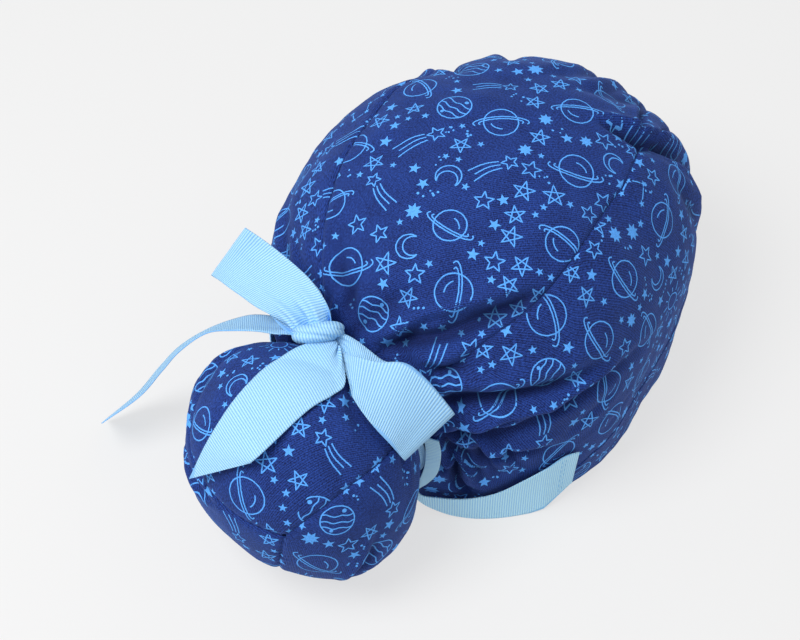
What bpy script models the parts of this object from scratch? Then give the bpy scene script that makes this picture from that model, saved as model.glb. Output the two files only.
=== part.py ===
"""Ponytail scrub cap with a ribbon bow, resting on its rim. Metres, Z up, forehead towards +Y."""

import bpy
import numpy as np
from mathutils import Matrix, Vector

# Crown sizes
CROWN_WIDTH = 0.2166
CROWN_LENGTH = 0.2516
CROWN_RISE = 0.0965
WIDEST_HEIGHT = 0.071
RIM_TUCK = 0.945
CROWN_SQUARENESS = 2.2
RIM_SQUARENESS = 2.15
NAPE_LIFT = 0.006
HEM_HEIGHT = 0.038
CLOTH_THICKNESS = 0.0016
HEM_THICKNESS = 0.0024
SEAM_GAP = 0.0011
SEAM_DIP = 0.0009

# Neck and pouch sizes
NECK_SHOULDER_ANGLE = 21.0
NECK_DEPTH = 0.014
NECK_HEIGHT = 0.076
NECK_SET_BACK = 0.132
POUCH_WIDTH = 0.126
POUCH_DEPTH = 0.110
POUCH_HEIGHT = 0.128
POUCH_SIDE_SHIFT = -0.020
POUCH_SET_BACK = 0.167
POUCH_START_ANGLE = 61.0
MOUTH_DISTANCE = 0.026
MOUTH_SQUARENESS = 14.0
TIP_OPENING = 0.0025
POUCH_MOUTH = (-0.06, 0.985, -0.12)
POUCH_TIP = (0.39, -0.90, 0.17)

# Fold sizes
FOLD_DEPTH = 0.0060
FOLD_WIDTH = 0.0065
FOLD_RIDGE = 0.60
GATHER_DEPTH = 0.0014
GATHER_REACH = 0.020

# Ribbon sizes
RIBBON_WIDTH = 0.038
RIBBON_THICKNESS = 0.0010
RIBBON_CLEARANCE = 0.0012
WRAP_RISE = 0.0090
WRAP_CLEARANCE = 0.0024
KNOT_LENGTH = 0.031
KNOT_WIDTH = 0.0155
KNOT_DEPTH = 0.015
KNOT_CLEARANCE = 0.0007
KNOT_END_CLEARANCE = 0.0013
KNOT_SET_BACK = 0.0030
KNOT_STAND_OFF = 0.0081
LOOP_OPENING = 0.0065

# Plan of the crown: compass angle in degrees from the wearer's right, radius as a share of the ellipse
PLAN = (
    (0.0, 0.975),
    (45.0, 1.017),
    (90.0, 0.935),
    (135.0, 0.896),
    (180.0, 1.025),
    (225.0, 1.086),
    (270.0, 1.065),
    (315.0, 1.077),
)

# Seams of the middle panel on the crown: way from neck to rim, right angle, left angle in degrees
CROWN_SEAMS = (
    (0.00, 40.0, -43.0),
    (0.03, 46.5, -46.0),
    (0.09, 52.0, -50.0),
    (0.18, 57.0, -54.5),
    (0.24, 56.0, -55.0),
    (0.32, 52.5, -52.5),
    (0.38, 50.0, -50.0),
    (0.45, 45.5, -45.5),
    (0.51, 39.5, -39.5),
    (0.62, 34.0, -34.0),
    (1.00, 30.0, -30.0),
)

# Seams of the middle panel on the pouch: way from neck to tip, right angle, left angle in degrees
POUCH_SEAMS = (
    (0.00, 50.0, -50.0),
    (0.25, 55.0, -60.0),
    (0.65, 50.0, -76.0),
    (1.00, 45.0, -82.0),
)

# Height of the hem band by angle from the forehead in degrees, as a share of its full height
HEM_PROFILE = (
    (0.0, 1.00),
    (112.0, 1.00),
    (126.0, 0.80),
    (140.0, 0.42),
    (160.0, 0.20),
    (180.0, 0.16),
)

# Folds of the crown: way from neck to rim, angle in degrees, depth as a share of the fold depth
FOLDS = {
    "deep_pleat": (
        (0.0, 10.0, 0.6),
        (0.03, 26.0, 1.1),
        (0.07, 38.0, 1.15),
        (0.13, 48.0, 0.8),
        (0.22, 57.0, 0.0),
    ),
    "short_pleat": (
        (0.0, 37.0, 0.7),
        (0.02, 46.5, 0.8),
        (0.06, 52.0, 0.35),
        (0.12, 55.0, 0.0),
    ),
    "side_pleat": (
        (0.0, 60.0, 0.9),
        (0.06, 76.0, 0.9),
        (0.11, 83.5, 0.75),
        (0.24, 92.0, 0.4),
        (0.46, 93.5, 0.0),
    ),
    "low_pleat": (
        (0.0, 88.0, 1.0),
        (0.06, 100.5, 1.0),
        (0.15, 105.0, 0.9),
        (0.29, 103.0, 0.7),
        (0.45, 99.0, 0.35),
        (0.70, 91.0, 0.0),
    ),
    "nape_fold": (
        (0.0, 108.0, 0.4),
        (0.09, 121.5, 0.9),
        (0.24, 126.5, 0.9),
        (0.35, 128.5, 0.3),
        (0.44, 130.0, 0.0),
    ),
    "nape_crease": (
        (0.0, 127.0, 1.1),
        (0.08, 137.0, 1.0),
        (0.18, 147.5, 0.9),
        (0.55, 157.5, 0.5),
        (0.80, 160.0, 0.0),
    ),
    "left_top_pleat": (
        (0.0, -20.0, 0.5),
        (0.06, -36.0, 0.5),
        (0.18, -47.0, 0.0),
    ),
    "left_side_pleat": (
        (0.0, -60.0, 0.8),
        (0.06, -74.0, 0.8),
        (0.20, -82.5, 0.45),
        (0.40, -86.0, 0.0),
    ),
    "left_low_pleat": (
        (0.0, -88.0, 0.9),
        (0.08, -100.0, 0.9),
        (0.26, -105.0, 0.5),
        (0.52, -101.0, 0.0),
    ),
    "left_nape_crease": (
        (0.0, -127.0, 1.0),
        (0.08, -138.0, 0.9),
        (0.30, -151.0, 0.6),
        (0.75, -159.0, 0.0),
    ),
    "front_middle": (
        (0.50, -2.0, 0.0),
        (0.57, 5.0, 0.35),
        (0.66, 7.0, 0.45),
        (0.90, 8.0, 0.15),
    ),
    "front_right_a": (
        (0.50, 9.5, 0.0),
        (0.56, 15.0, 0.45),
        (0.65, 16.5, 0.55),
        (0.90, 17.0, 0.2),
    ),
    "front_right_b": (
        (0.54, 17.0, 0.0),
        (0.60, 21.0, 0.4),
        (0.66, 22.0, 0.5),
        (0.90, 23.0, 0.2),
    ),
    "front_right_c": (
        (0.48, 26.0, 0.0),
        (0.53, 35.5, 0.75),
        (0.57, 39.0, 0.8),
        (0.66, 41.0, 0.6),
        (0.90, 42.0, 0.2),
    ),
    "front_right_d": (
        (0.56, 48.0, 0.0),
        (0.64, 54.0, 0.55),
        (0.75, 55.0, 0.5),
        (0.92, 56.0, 0.1),
    ),
    "front_left_a": (
        (0.53, -14.0, 0.0),
        (0.60, -18.0, 0.5),
        (0.70, -19.0, 0.5),
        (0.90, -20.0, 0.2),
    ),
    "front_left_b": (
        (0.48, -25.0, 0.0),
        (0.54, -35.0, 0.8),
        (0.59, -39.0, 0.9),
        (0.70, -41.0, 0.6),
        (0.90, -42.0, 0.2),
    ),
    "front_left_c": (
        (0.56, -47.0, 0.0),
        (0.65, -53.0, 0.5),
        (0.78, -54.0, 0.4),
        (0.92, -55.0, 0.1),
    ),
}

# Small gathers at the neck: angle in degrees, width in degrees, depth as a share of the gather depth
GATHERS = (
    (-170.0, 9.0, 1.0),
    (-148.0, 8.0, 0.8),
    (-104.0, 9.0, 1.0),
    (-70.0, 8.0, 0.7),
    (-30.0, 7.0, 0.9),
    (-4.0, 8.0, 0.8),
    (22.0, 7.0, 0.9),
    (66.0, 8.0, 0.8),
    (98.0, 9.0, 1.0),
    (142.0, 8.0, 0.9),
    (166.0, 9.0, 1.0),
)

# Pushes of the pouch: direction right, forward, up, spread in degrees, height as a share of its radius
POUCH_PUSHES = (
    (0.74, -0.34, -0.58, 22.0, 0.085),
    (-0.90, 0.03, 0.43, 24.0, 0.050),
    (-0.91, -0.40, 0.13, 20.0, -0.045),
    (-0.35, -0.83, -0.42, 24.0, -0.040),
    (0.10, -0.35, 0.93, 34.0, 0.020),
    (-0.14, 0.42, 0.90, 15.0, -0.055),
)

# Ribbon strips from the knot: right, forward, up of the middle, then of half the strip, in ribbon widths
LEFT_LOOP = (
    (-0.09, 0.11, 0.19, 0.17, 0.10, 0.04),
    (-0.28, 0.15, 0.23, 0.27, 0.18, 0.09),
    (-0.54, 0.22, 0.24, 0.29, 0.25, 0.17),
    (-0.91, 0.34, 0.24, 0.34, 0.26, 0.24),
    (-1.23, 0.44, 0.22, 0.33, 0.25, 0.28),
    (-1.48, 0.50, 0.22, 0.27, 0.22, 0.34),
    (-1.71, 0.54, 0.22, 0.19, 0.18, 0.40),
)
RIGHT_LOOP = (
    (0.44, -0.05, 0.06, -0.04, 0.11, 0.03),
    (0.65, -0.16, 0.03, -0.03, 0.25, 0.02),
    (0.90, -0.23, 0.03, 0.01, 0.37, -0.03),
    (1.16, -0.24, -0.02, 0.06, 0.49, 0.00),
    (1.39, -0.29, -0.13, 0.08, 0.50, 0.02),
    (1.63, -0.30, -0.32, 0.09, 0.49, 0.03),
    (1.80, -0.26, -0.59, 0.11, 0.46, 0.05),
)
FRONT_TAIL = (
    (0.12, -0.15, 0.08, -0.17, -0.08, -0.01),
    (0.23, -0.40, 0.15, -0.35, -0.11, 0.02),
    (0.25, -0.77, 0.17, -0.46, -0.12, 0.01),
    (0.11, -1.13, 0.13, -0.45, -0.11, -0.03),
    (-0.00, -1.51, -0.00, -0.45, -0.08, -0.09),
    (-0.11, -1.81, -0.23, -0.43, -0.06, -0.17),
    (-0.23, -2.07, -0.58, -0.43, -0.11, -0.35),
)
LEFT_TAIL = (
    (-0.42, -0.01, -0.06, -0.07, 0.11, -0.06),
    (-0.69, 0.03, -0.16, -0.16, 0.24, -0.17),
    (-1.00, 0.03, -0.29, -0.22, 0.29, -0.26),
    (-1.37, -0.02, -0.50, -0.21, 0.30, -0.32),
    (-1.78, -0.07, -0.83, -0.21, 0.26, -0.36),
    (-2.19, -0.22, -1.31, -0.22, 0.26, -0.36),
    (-2.48, -0.32, -1.81, -0.23, 0.25, -0.36),
    (-2.85, -0.53, -2.47, -0.23, 0.23, -0.37),
    (-3.18, -0.94, -2.81, -0.19, 0.24, -0.36),
)

# Tie along the nape: compass angle in degrees, top and bottom edge in hem heights, lift in clearances
NAPE_TIE = (
    (-39.5, 1.10, 0.22, 1.1),
    (-43.5, 1.16, 0.20, 1.1),
    (-48.0, 1.05, 0.14, 1.8),
    (-54.0, 0.88, 0.08, 2.4),
    (-60.0, 0.66, 0.07, 2.8),
    (-67.0, 0.53, 0.07, 2.8),
    (-73.0, 0.49, 0.12, 2.6),
    (-77.5, 0.51, 0.27, 2.8),
)

# End of a tie up to the ribbon round the neck, from the middle of that ring, in ribbon widths
TIE_END = (
    (0.99, 0.10, -1.28, 0.03, 0.00, 0.10),
    (1.08, 0.08, -0.98, 0.08, 0.02, 0.06),
    (1.21, 0.05, -0.62, 0.10, 0.03, 0.04),
    (1.28, 0.02, -0.25, 0.10, 0.03, 0.02),
    (1.29, 0.01, 0.05, 0.10, 0.03, 0.00),
    (1.26, 0.00, 0.30, 0.10, 0.03, -0.02),
)

# Knot: run of the wound strip, then the way it faces, right, forward, up
KNOT_RUN = (0.83, 0.54, -0.12)
KNOT_FACE = (0.35, -0.54, 0.77)
KNOT_ON_NECK = (-0.260, 0.966)

NECK_START = 0.60
NECK_END = 0.72
CROWN_ROWS = 17
NECK_ROWS = 7
POUCH_ROWS = 12
MIDDLE_COLUMNS = 14
RIGHT_COLUMNS = 22
LEFT_COLUMNS = 14
HEM_COLUMNS = 54
WRAP_COLUMNS = 30

CLOTH_BLUE = (0.020, 0.030, 0.150, 1.0)
HEM_BLUE = (0.018, 0.027, 0.140, 1.0)
RIBBON_BLUE = (0.330, 0.680, 0.950, 1.0)


def unit(vectors):
    return vectors / np.maximum(np.linalg.norm(vectors, axis=-1, keepdims=True), 1e-12)


def curve(rows, at):
    """Smooth line through the rows of a table: first column against all the others."""
    rows = np.array(rows, float)
    x = rows[:, 0]
    y = rows[:, 1:]
    slope = np.gradient(y, x, axis=0)
    at = np.clip(np.asarray(at, float), x[0], x[-1])
    i = np.clip(np.searchsorted(x, at, side="right") - 1, 0, len(x) - 2)
    h = (x[i + 1] - x[i])[..., None]
    k = ((at - x[i]) / (x[i + 1] - x[i]))[..., None]
    return (
        (2 * k**3 - 3 * k**2 + 1) * y[i]
        + (k**3 - 2 * k**2 + k) * h * slope[i]
        + (3 * k**2 - 2 * k**3) * y[i + 1]
        + (k**3 - k**2) * h * slope[i + 1]
    )


def wrap(angle):
    return (angle + np.pi) % (2 * np.pi) - np.pi


CROWN_MIDDLE = np.array((0.0, 0.0, WIDEST_HEIGHT))
NECK_MIDDLE = np.array((0.0, -NECK_SET_BACK, NECK_HEIGHT))
POUCH_MIDDLE = np.array((POUCH_SIDE_SHIFT, -POUCH_SET_BACK, POUCH_HEIGHT / 2))
POUCH_RADII = np.array((POUCH_WIDTH, POUCH_DEPTH, POUCH_HEIGHT)) / 2
BACKWARDS = unit(NECK_MIDDLE - CROWN_MIDDLE)
UPWARDS = unit(np.array((0.0, 0.05, 1.0)))
TO_NECK = unit(np.array(POUCH_MOUTH))
TIP = unit(np.array(POUCH_TIP))
SHOULDER = np.radians(NECK_SHOULDER_ANGLE)
POUCH_START = np.radians(POUCH_START_ANGLE)


def plan_radius(theta):
    rows = np.array(PLAN)
    away = np.abs(wrap(theta[..., None] - np.radians(rows[:, 0]))) / np.radians(45.0)
    share = np.where(away < 1, 0.5 + 0.5 * np.cos(np.pi * away), 0.0) @ rows[:, 1]
    ellipse = 1.0 / np.hypot(np.cos(theta) / (CROWN_WIDTH / 2), np.sin(theta) / (CROWN_LENGTH / 2))
    return share * ellipse


def crown_reach(way):
    """Distance from the crown's middle to its cloth, along unit directions."""
    theta = np.arctan2(way[..., 1], way[..., 0])
    out = np.hypot(way[..., 0], way[..., 1]) / plan_radius(theta)
    below = WIDEST_HEIGHT / (1 - RIM_TUCK**RIM_SQUARENESS) ** (1 / RIM_SQUARENESS)
    rise = np.maximum(way[..., 2], 0) / CROWN_RISE
    drop = np.maximum(-way[..., 2], 0) / below
    over = (out**CROWN_SQUARENESS + rise**CROWN_SQUARENESS) ** (-1 / CROWN_SQUARENESS)
    under = (out**RIM_SQUARENESS + drop**RIM_SQUARENESS) ** (-1 / RIM_SQUARENESS)
    return np.where(way[..., 2] > 0, over, under)


def pouch_reach(way):
    """Distance from the pouch's middle to its cloth, along unit directions."""
    reach = 1.0 / np.linalg.norm(way / POUCH_RADII, axis=-1)
    push = np.ones(reach.shape)
    for right, forward, up, spread, height in POUCH_PUSHES:
        angle = np.arccos(np.clip(way @ unit(np.array((right, forward, up))), -1, 1))
        push = push + height * np.exp(-((angle / np.radians(spread)) ** 2))
    reach = reach * push
    flat = np.maximum(way @ TO_NECK, 0) / MOUTH_DISTANCE
    return (reach**-MOUTH_SQUARENESS + flat**MOUTH_SQUARENESS) ** (-1 / MOUTH_SQUARENESS)


def on_circle(phi, middle, radius, on_pouch=False):
    """Directions on a circle of directions: angle 0 is its upper side, 90 degrees its right."""
    if on_pouch:
        upright = np.array((0.0, 0.0, 1.0))
        above = unit(upright - (middle @ upright)[..., None] * middle)
        right = np.cross(middle, above)
    else:
        right = np.broadcast_to(np.array((1.0, 0.0, 0.0)), middle.shape)
        above = unit(np.cross(middle, right))
    spoke = np.sin(phi)[..., None] * right + np.cos(phi)[..., None] * above
    return np.cos(radius)[..., None] * middle + np.sin(radius)[..., None] * spoke


def between(start, end, share):
    angle = np.arccos(np.clip(start @ end, -1, 1))
    share = np.asarray(share)[..., None]
    return (np.sin((1 - share) * angle) * start + np.sin(share * angle) * end) / np.sin(angle)


def rim_height(phi):
    away = np.clip((np.abs(wrap(phi)) - np.radians(125.0)) / np.radians(55.0), 0, 1)
    return NAPE_LIFT * away**2 * (3 - 2 * away)


def rim_radius(phi):
    middle = np.broadcast_to(UPWARDS, phi.shape + (3,))
    low = np.full(phi.shape, np.radians(80.0))
    high = np.full(phi.shape, np.radians(170.0))
    for _ in range(36):
        half = (low + high) / 2
        way = on_circle(phi, middle, half)
        height = CROWN_MIDDLE[2] + crown_reach(way) * way[..., 2]
        above = height > rim_height(phi)
        low = np.where(above, half, low)
        high = np.where(above, high, half)
    return (low + high) / 2


RIM_ANGLES = np.radians(np.arange(-180.0, 181.0, 2.0))
RIM_RADII = rim_radius(RIM_ANGLES)


def crown_way(phi, share):
    radius = SHOULDER + (np.interp(wrap(phi), RIM_ANGLES, RIM_RADII) - SHOULDER) * share
    return on_circle(phi, between(BACKWARDS, UPWARDS, share), radius)


def crown_point(way):
    return CROWN_MIDDLE + crown_reach(way)[..., None] * way


def pouch_point(way):
    return POUCH_MIDDLE + pouch_reach(way)[..., None] * way


def pouch_way(phi, share):
    radius = POUCH_START + (np.pi - POUCH_START) * share
    return on_circle(phi, between(TO_NECK, -TIP, share), radius, on_pouch=True)


def neck_point(phi, share):
    """Groove between crown and pouch, joined smoothly to both."""
    near = np.broadcast_to(BACKWARDS, phi.shape + (3,))
    far = np.broadcast_to(TO_NECK, phi.shape + (3,))
    wide = np.full(phi.shape, SHOULDER)
    start = crown_point(on_circle(phi, near, wide))
    start_way = unit(crown_point(on_circle(phi, near, wide - 0.02)) - start)
    wide = np.full(phi.shape, POUCH_START)
    end = pouch_point(on_circle(phi, far, wide, on_pouch=True))
    end_way = unit(pouch_point(on_circle(phi, far, wide - 0.02, on_pouch=True)) - end)
    k = share[..., None]
    return (
        (1 - k) ** 3 * start
        + 3 * (1 - k) ** 2 * k * (start + NECK_DEPTH * start_way)
        + 3 * (1 - k) * k**2 * (end + NECK_DEPTH * end_way)
        + k**3 * end
    )


def base_point(phi, along):
    """Smooth cloth surface: along runs from 0 at the rim over the neck to 1 at the pouch's tip."""
    phi, along = np.broadcast_arrays(np.asarray(phi, float), np.asarray(along, float))
    crown = crown_point(crown_way(phi, np.clip(1 - along / NECK_START, 0, 1)))
    neck = neck_point(phi, np.clip((along - NECK_START) / (NECK_END - NECK_START), 0, 1))
    pouch = pouch_point(pouch_way(phi, np.clip((along - NECK_END) / (1 - NECK_END), 0, 1)))
    point = np.where((along < NECK_START)[..., None], crown, neck)
    return np.where((along > NECK_END)[..., None], pouch, point)


def seam_angles(along):
    """Right and left seam of the middle panel, in radians."""
    on_crown = curve(CROWN_SEAMS, 1 - along / NECK_START)
    on_pouch = curve(POUCH_SEAMS, (along - NECK_END) / (1 - NECK_END))
    k = np.clip((along - NECK_START) / (NECK_END - NECK_START), 0, 1)[..., None]
    return np.radians(np.where((along < NECK_START)[..., None], on_crown, on_crown * (1 - k) + on_pouch * k))


def fold_height(phi, along, per_radian, point):
    """How far folds, gathers and seams move the cloth out or in."""
    share = np.clip(1 - along / NECK_START, 0, 1)
    past_neck = np.clip((along - NECK_START) / (NECK_END - NECK_START), 0, 1)
    height = np.zeros(phi.shape)
    for rows in FOLDS.values():
        place = curve(rows, share)
        depth = FOLD_DEPTH * np.maximum(place[..., 1], 0)
        depth = np.where(share < rows[0][0], 0, depth) * np.clip(1 - 4 * past_neck, 0, 1) ** 2
        depth = np.where(share > rows[-1][0], depth * 0.9 ** ((share - rows[-1][0]) / 0.01), depth)
        x = wrap(phi - np.radians(place[..., 0])) * per_radian / FOLD_WIDTH
        valley = np.where(x > 0, np.exp(-(x**2)), np.exp(-((1.5 * x) ** 2)))
        ridge = FOLD_RIDGE * np.exp(-(((x + 1.25) / 0.95) ** 2))
        height = height + depth * (ridge - valley)
    from_crown = np.arccos(np.clip(unit(point - CROWN_MIDDLE) @ BACKWARDS, -1, 1)) - SHOULDER
    from_pouch = np.arccos(np.clip(unit(point - POUCH_MIDDLE) @ TO_NECK, -1, 1)) - POUCH_START
    away = np.where(along < NECK_START, from_crown * NECK_SET_BACK, from_pouch * POUCH_RADII[0])
    away = np.where((along >= NECK_START) & (along <= NECK_END), 0, np.maximum(away, 0))
    for middle, width, depth in GATHERS:
        x = wrap(phi - np.radians(middle)) / np.radians(width)
        height = height - GATHER_DEPTH * depth * np.exp(-(x**2)) * np.exp(-away / GATHER_REACH)
    seams = seam_angles(along)
    for seam in (seams[..., 0], seams[..., 1], np.full(phi.shape, np.pi)):
        x = wrap(phi - seam) * per_radian / (2.2 * SEAM_DIP)
        height = height - SEAM_DIP * np.exp(-(x**2))
    return height


def cloth_point(phi, along, lift=0.0, folds=True):
    """Point of the outer cloth surface, with its folds unless left out."""
    phi, along = np.broadcast_arrays(np.asarray(phi, float), np.asarray(along, float))
    step = 0.002
    point = base_point(phi, along)
    across = (base_point(phi + step, along) - base_point(phi - step, along)) / (2 * step)
    near = np.clip(along - step, 0, 1)
    far = np.clip(along + step, 0, 1)
    length = base_point(phi, far) - base_point(phi, near)
    out = unit(np.cross(length, across))
    height = fold_height(phi, along, np.linalg.norm(across, axis=-1), point) if folds else 0.0
    return point + (height + lift * np.ones(phi.shape))[..., None] * out


def hem_top(gap):
    """Share of the way along at which the hem band, or the gap above it, ends for each rim angle."""
    along = np.linspace(0, NECK_START, 241)
    tops = []
    for phi in RIM_ANGLES:
        line = base_point(np.full(along.shape, phi), along)
        walked = np.concatenate(((0.0,), np.cumsum(np.linalg.norm(np.diff(line, axis=0), axis=1))))
        height = HEM_HEIGHT * curve(HEM_PROFILE, abs(np.degrees(phi)))[0] + gap
        tops.append(np.interp(height, walked, along))
    return np.array(tops)


HEM_TOP = hem_top(0.0)
PANEL_START = hem_top(SEAM_GAP)


def knot_frame():
    face = unit(np.array(KNOT_FACE))
    run = np.array(KNOT_RUN)
    run = unit(run - (run @ face) * face)
    return run, np.cross(face, run), face


def neck_radius():
    ring = base_point(np.radians(np.arange(0.0, 360.0, 10.0)), np.full(36, (NECK_START + NECK_END) / 2))
    return ring.mean(axis=0), np.linalg.norm(ring - ring.mean(axis=0), axis=1).mean()


RING_MIDDLE, RING_RADIUS = neck_radius()


def groove_edges(angles):
    """Ways along on both sides of the groove's floor at which its walls have risen by the wrap's rise."""
    along = NECK_START + (NECK_END - NECK_START) * np.linspace(0.18, 1.5, 301)
    line = base_point(angles[None, :], along[:, None])
    away = np.linalg.norm((line - RING_MIDDLE)[..., (0, 2)], axis=-1)
    floor = np.argmin(away[:240], axis=0)
    sides = []
    for way in (-1, 1):
        place = floor.copy()
        for _ in range(150):
            rise = away[place, np.arange(len(angles))] - away[floor, np.arange(len(angles))]
            place = np.where(rise < WRAP_RISE, np.clip(place + way, 0, 300), place)
        place = along[place]
        for _ in range(3):
            place = (np.roll(place, 1) + 2 * place + np.roll(place, -1)) / 4
        sides.append(place)
    return sides


WRAP_RADIUS = RING_RADIUS + WRAP_CLEARANCE + 2 * RIBBON_THICKNESS
KNOT_DISTANCE = WRAP_RADIUS + KNOT_STAND_OFF + KNOT_DEPTH / 2
KNOT_MIDDLE = RING_MIDDLE + np.array(
    (KNOT_DISTANCE * KNOT_ON_NECK[0], -KNOT_SET_BACK, KNOT_DISTANCE * KNOT_ON_NECK[1])
)
KNOT_AXES = np.array(knot_frame())
KNOT_HALF = np.array((KNOT_LENGTH, KNOT_WIDTH, KNOT_DEPTH)) / 2


def knot_reach(way):
    local = np.abs(way @ KNOT_AXES.T) / KNOT_HALF
    return (local[..., 0] ** 2.6 + local[..., 1] ** 2.6 + local[..., 2] ** 2.2) ** (-1 / 2.4)


def wrap_reach(way):
    """Ball that holds the ribbon round the neck."""
    return np.full(way.shape[:-1], WRAP_RADIUS + 0.0040)


def keep_out(points, lift):
    """Moves ribbon points that would sink into the crown, the pouch or the knot out to their surface."""
    for middle, reach, clear in (
        (CROWN_MIDDLE, crown_reach, lift),
        (POUCH_MIDDLE, pouch_reach, lift),
        (RING_MIDDLE, wrap_reach, lift),
        (KNOT_MIDDLE, knot_reach, KNOT_CLEARANCE + RIBBON_THICKNESS / 2),
    ):
        arm = points - middle
        length = np.linalg.norm(arm, axis=-1)
        way = unit(arm)
        least = reach(way) + clear
        points = np.where((length < least)[..., None], middle + least[..., None] * way, points)
    return points


def resample(rows, count):
    """Rows of a strip at even steps along its middle line."""
    rows = np.array(rows, float)
    walked = np.concatenate(((0.0,), np.cumsum(np.linalg.norm(np.diff(rows[:, :3], axis=0), axis=1))))
    table = np.column_stack((walked, rows))
    return curve(table, np.linspace(0, walked[-1], count))


def strip_points(rows, count, columns, wrinkle, ends=(0,), clearance=KNOT_CLEARANCE):
    """Flat ribbon strip through table rows, gathered at its start, with the named end rows against the knot."""
    rows = resample(np.array(rows, float) * RIBBON_WIDTH, count)
    middle = rows[:, None, :3]
    half = rows[:, None, 3:]
    across = np.linspace(-1, 1, columns)[None, :, None]
    points = KNOT_MIDDLE + middle + across * half
    run = np.gradient(rows[:, :3], axis=0)
    face = unit(np.cross(run, rows[:, 3:]))[:, None, :]
    along = np.linspace(0, 1, count)[:, None, None]
    fade = np.exp(-((along / 0.28) ** 2))
    points = keep_out(points + wrinkle * fade * np.cos(np.pi * 2.0 * across) * face, RIBBON_CLEARANCE)
    for end in ends:
        way = unit(points[end] - KNOT_MIDDLE)
        points[end] = KNOT_MIDDLE + (knot_reach(way) + clearance + RIBBON_THICKNESS / 2)[:, None] * way
    return points


def loop_rows(rows, opening, sideways):
    """Upper layer of a loop, its turn at the far end and the lower layer back to the knot."""
    rows = np.array(rows, float)
    fine = resample(rows, 9)
    run = np.gradient(fine[:, :3], axis=0)
    face = unit(np.cross(run, fine[:, 3:]))
    if face[:, 2].mean() < 0:
        face = -face
    share = np.linspace(0, 1, 9)[:, None]
    depth = 0.55 + 0.9 * np.sin(np.pi * share**0.8)
    depth = opening / RIBBON_WIDTH * depth * np.sqrt(np.clip(1.06 - share, 0, 1))
    lower = fine.copy()
    lower[:, :3] -= depth * face
    lower[:, :3] += sideways * np.array(KNOT_AXES[1]) * (1 - share) ** 2
    lower[:, 3:] *= 0.97
    end = (fine[-1] + lower[-1]) / 2
    end[:3] += 0.045 * unit(run[-1])
    return np.vstack((fine[:-1], fine[-1:], end[None], lower[::-1]))


def new_collection(name, hidden):
    collection = bpy.data.collections.new(name)
    bpy.context.scene.collection.children.link(collection)
    collection.hide_render = hidden
    return collection


def new_material(name, color, roughness):
    material = bpy.data.materials.new(name)
    material.use_nodes = True
    shader = material.node_tree.nodes["Principled BSDF"]
    shader.inputs["Base Color"].default_value = color
    shader.inputs["Roughness"].default_value = roughness
    shader.inputs["Metallic"].default_value = 0.0
    material.diffuse_color = color
    return material


def grid_object(name, points, color, thickness, offset, ring=False, tip=None, flip=False):
    """Open cloth surface on a grid of points, thickened by a Solidify modifier."""
    rows, columns = points.shape[:2]
    mesh = bpy.data.meshes.new(name)
    corners = [Vector(point) for point in points.reshape(-1, 3)]
    faces = []
    last = columns if ring else columns - 1
    for i in range(rows - 1):
        for j in range(last):
            k = (j + 1) % columns
            faces.append((i * columns + j, i * columns + k, (i + 1) * columns + k, (i + 1) * columns + j))
    if tip is not None:
        corners.append(Vector(tip))
        for j in range(last):
            k = (j + 1) % columns
            faces.append(((rows - 1) * columns + j, (rows - 1) * columns + k, len(corners) - 1))
    if flip:
        faces = [face[::-1] for face in faces]
    mesh.from_pydata(corners, [], faces)
    mesh.update()
    thing = bpy.data.objects.new(name, mesh)
    PARTS.objects.link(thing)
    mesh.materials.append(new_material(name, color, 0.85))
    solid = thing.modifiers.new("Thickness", "SOLIDIFY")
    solid.thickness = thickness
    solid.offset = offset
    solid.use_rim = True
    return thing


for old in list(bpy.data.objects):
    bpy.data.objects.remove(old, do_unlink=True)
PARTS = new_collection("scrub_cap", False)


def along_rows(start, crown_rows=CROWN_ROWS):
    """Ways along for the rows of a panel, from above the hem band to near the pouch's tip."""
    crown = start[None, :] + (NECK_START - start[None, :]) * np.linspace(0, 1, crown_rows + 1)[:, None] ** 0.9
    neck = np.linspace(NECK_START, NECK_END, NECK_ROWS + 1)[1:, None] * np.ones(start.shape)
    close = 1 - TIP_OPENING / POUCH_RADII[0] / (np.pi - POUCH_START) * (1 - NECK_END)
    pouch = np.linspace(NECK_END, close, POUCH_ROWS + 1)[1:, None] * np.ones(start.shape)
    return np.vstack((crown, neck, pouch))


def panel(name, edges, columns, tip=False):
    """Panel between two seams; edges gives its two border angles for a way along."""
    share = np.linspace(0, 1, columns + 1)[None, :]
    first = edges(np.array((0.05,)))
    guess = first[0][0] + (first[1][0] - first[0][0]) * share[0]
    for _ in range(3):
        start = np.interp(wrap(guess), RIM_ANGLES, PANEL_START)
        low, high = edges(start)
        guess = low + (high - low) * share[0]
    along = along_rows(start)
    low, high = edges(along)
    phi = low + (high - low) * share
    step = 0.002
    across = base_point(phi + step, along) - base_point(phi - step, along)
    per_radian = np.linalg.norm(across, axis=-1) / (2 * step)
    gap = SEAM_GAP / 2 / np.maximum(per_radian, 0.001)
    phi = low + gap + (high - low - 2 * gap) * share
    point = cloth_point(phi, along)
    end = POUCH_MIDDLE + pouch_reach(TIP[None, :])[0] * TIP if tip else None
    return grid_object(name, point, CLOTH_BLUE, CLOTH_THICKNESS, -1.0, tip=end, flip=True)


def middle_edges(along):
    seams = seam_angles(along)
    return seams[..., 1], seams[..., 0]


def right_edges(along):
    seams = seam_angles(along)
    return seams[..., 0], np.full(along.shape, np.pi)


def left_edges(along):
    seams = seam_angles(along)
    return np.full(along.shape, -np.pi), seams[..., 1]


panel("centre_panel", middle_edges, MIDDLE_COLUMNS, tip=True)
panel("side_panel_right", right_edges, RIGHT_COLUMNS)
panel("side_panel_left", left_edges, LEFT_COLUMNS)

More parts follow.
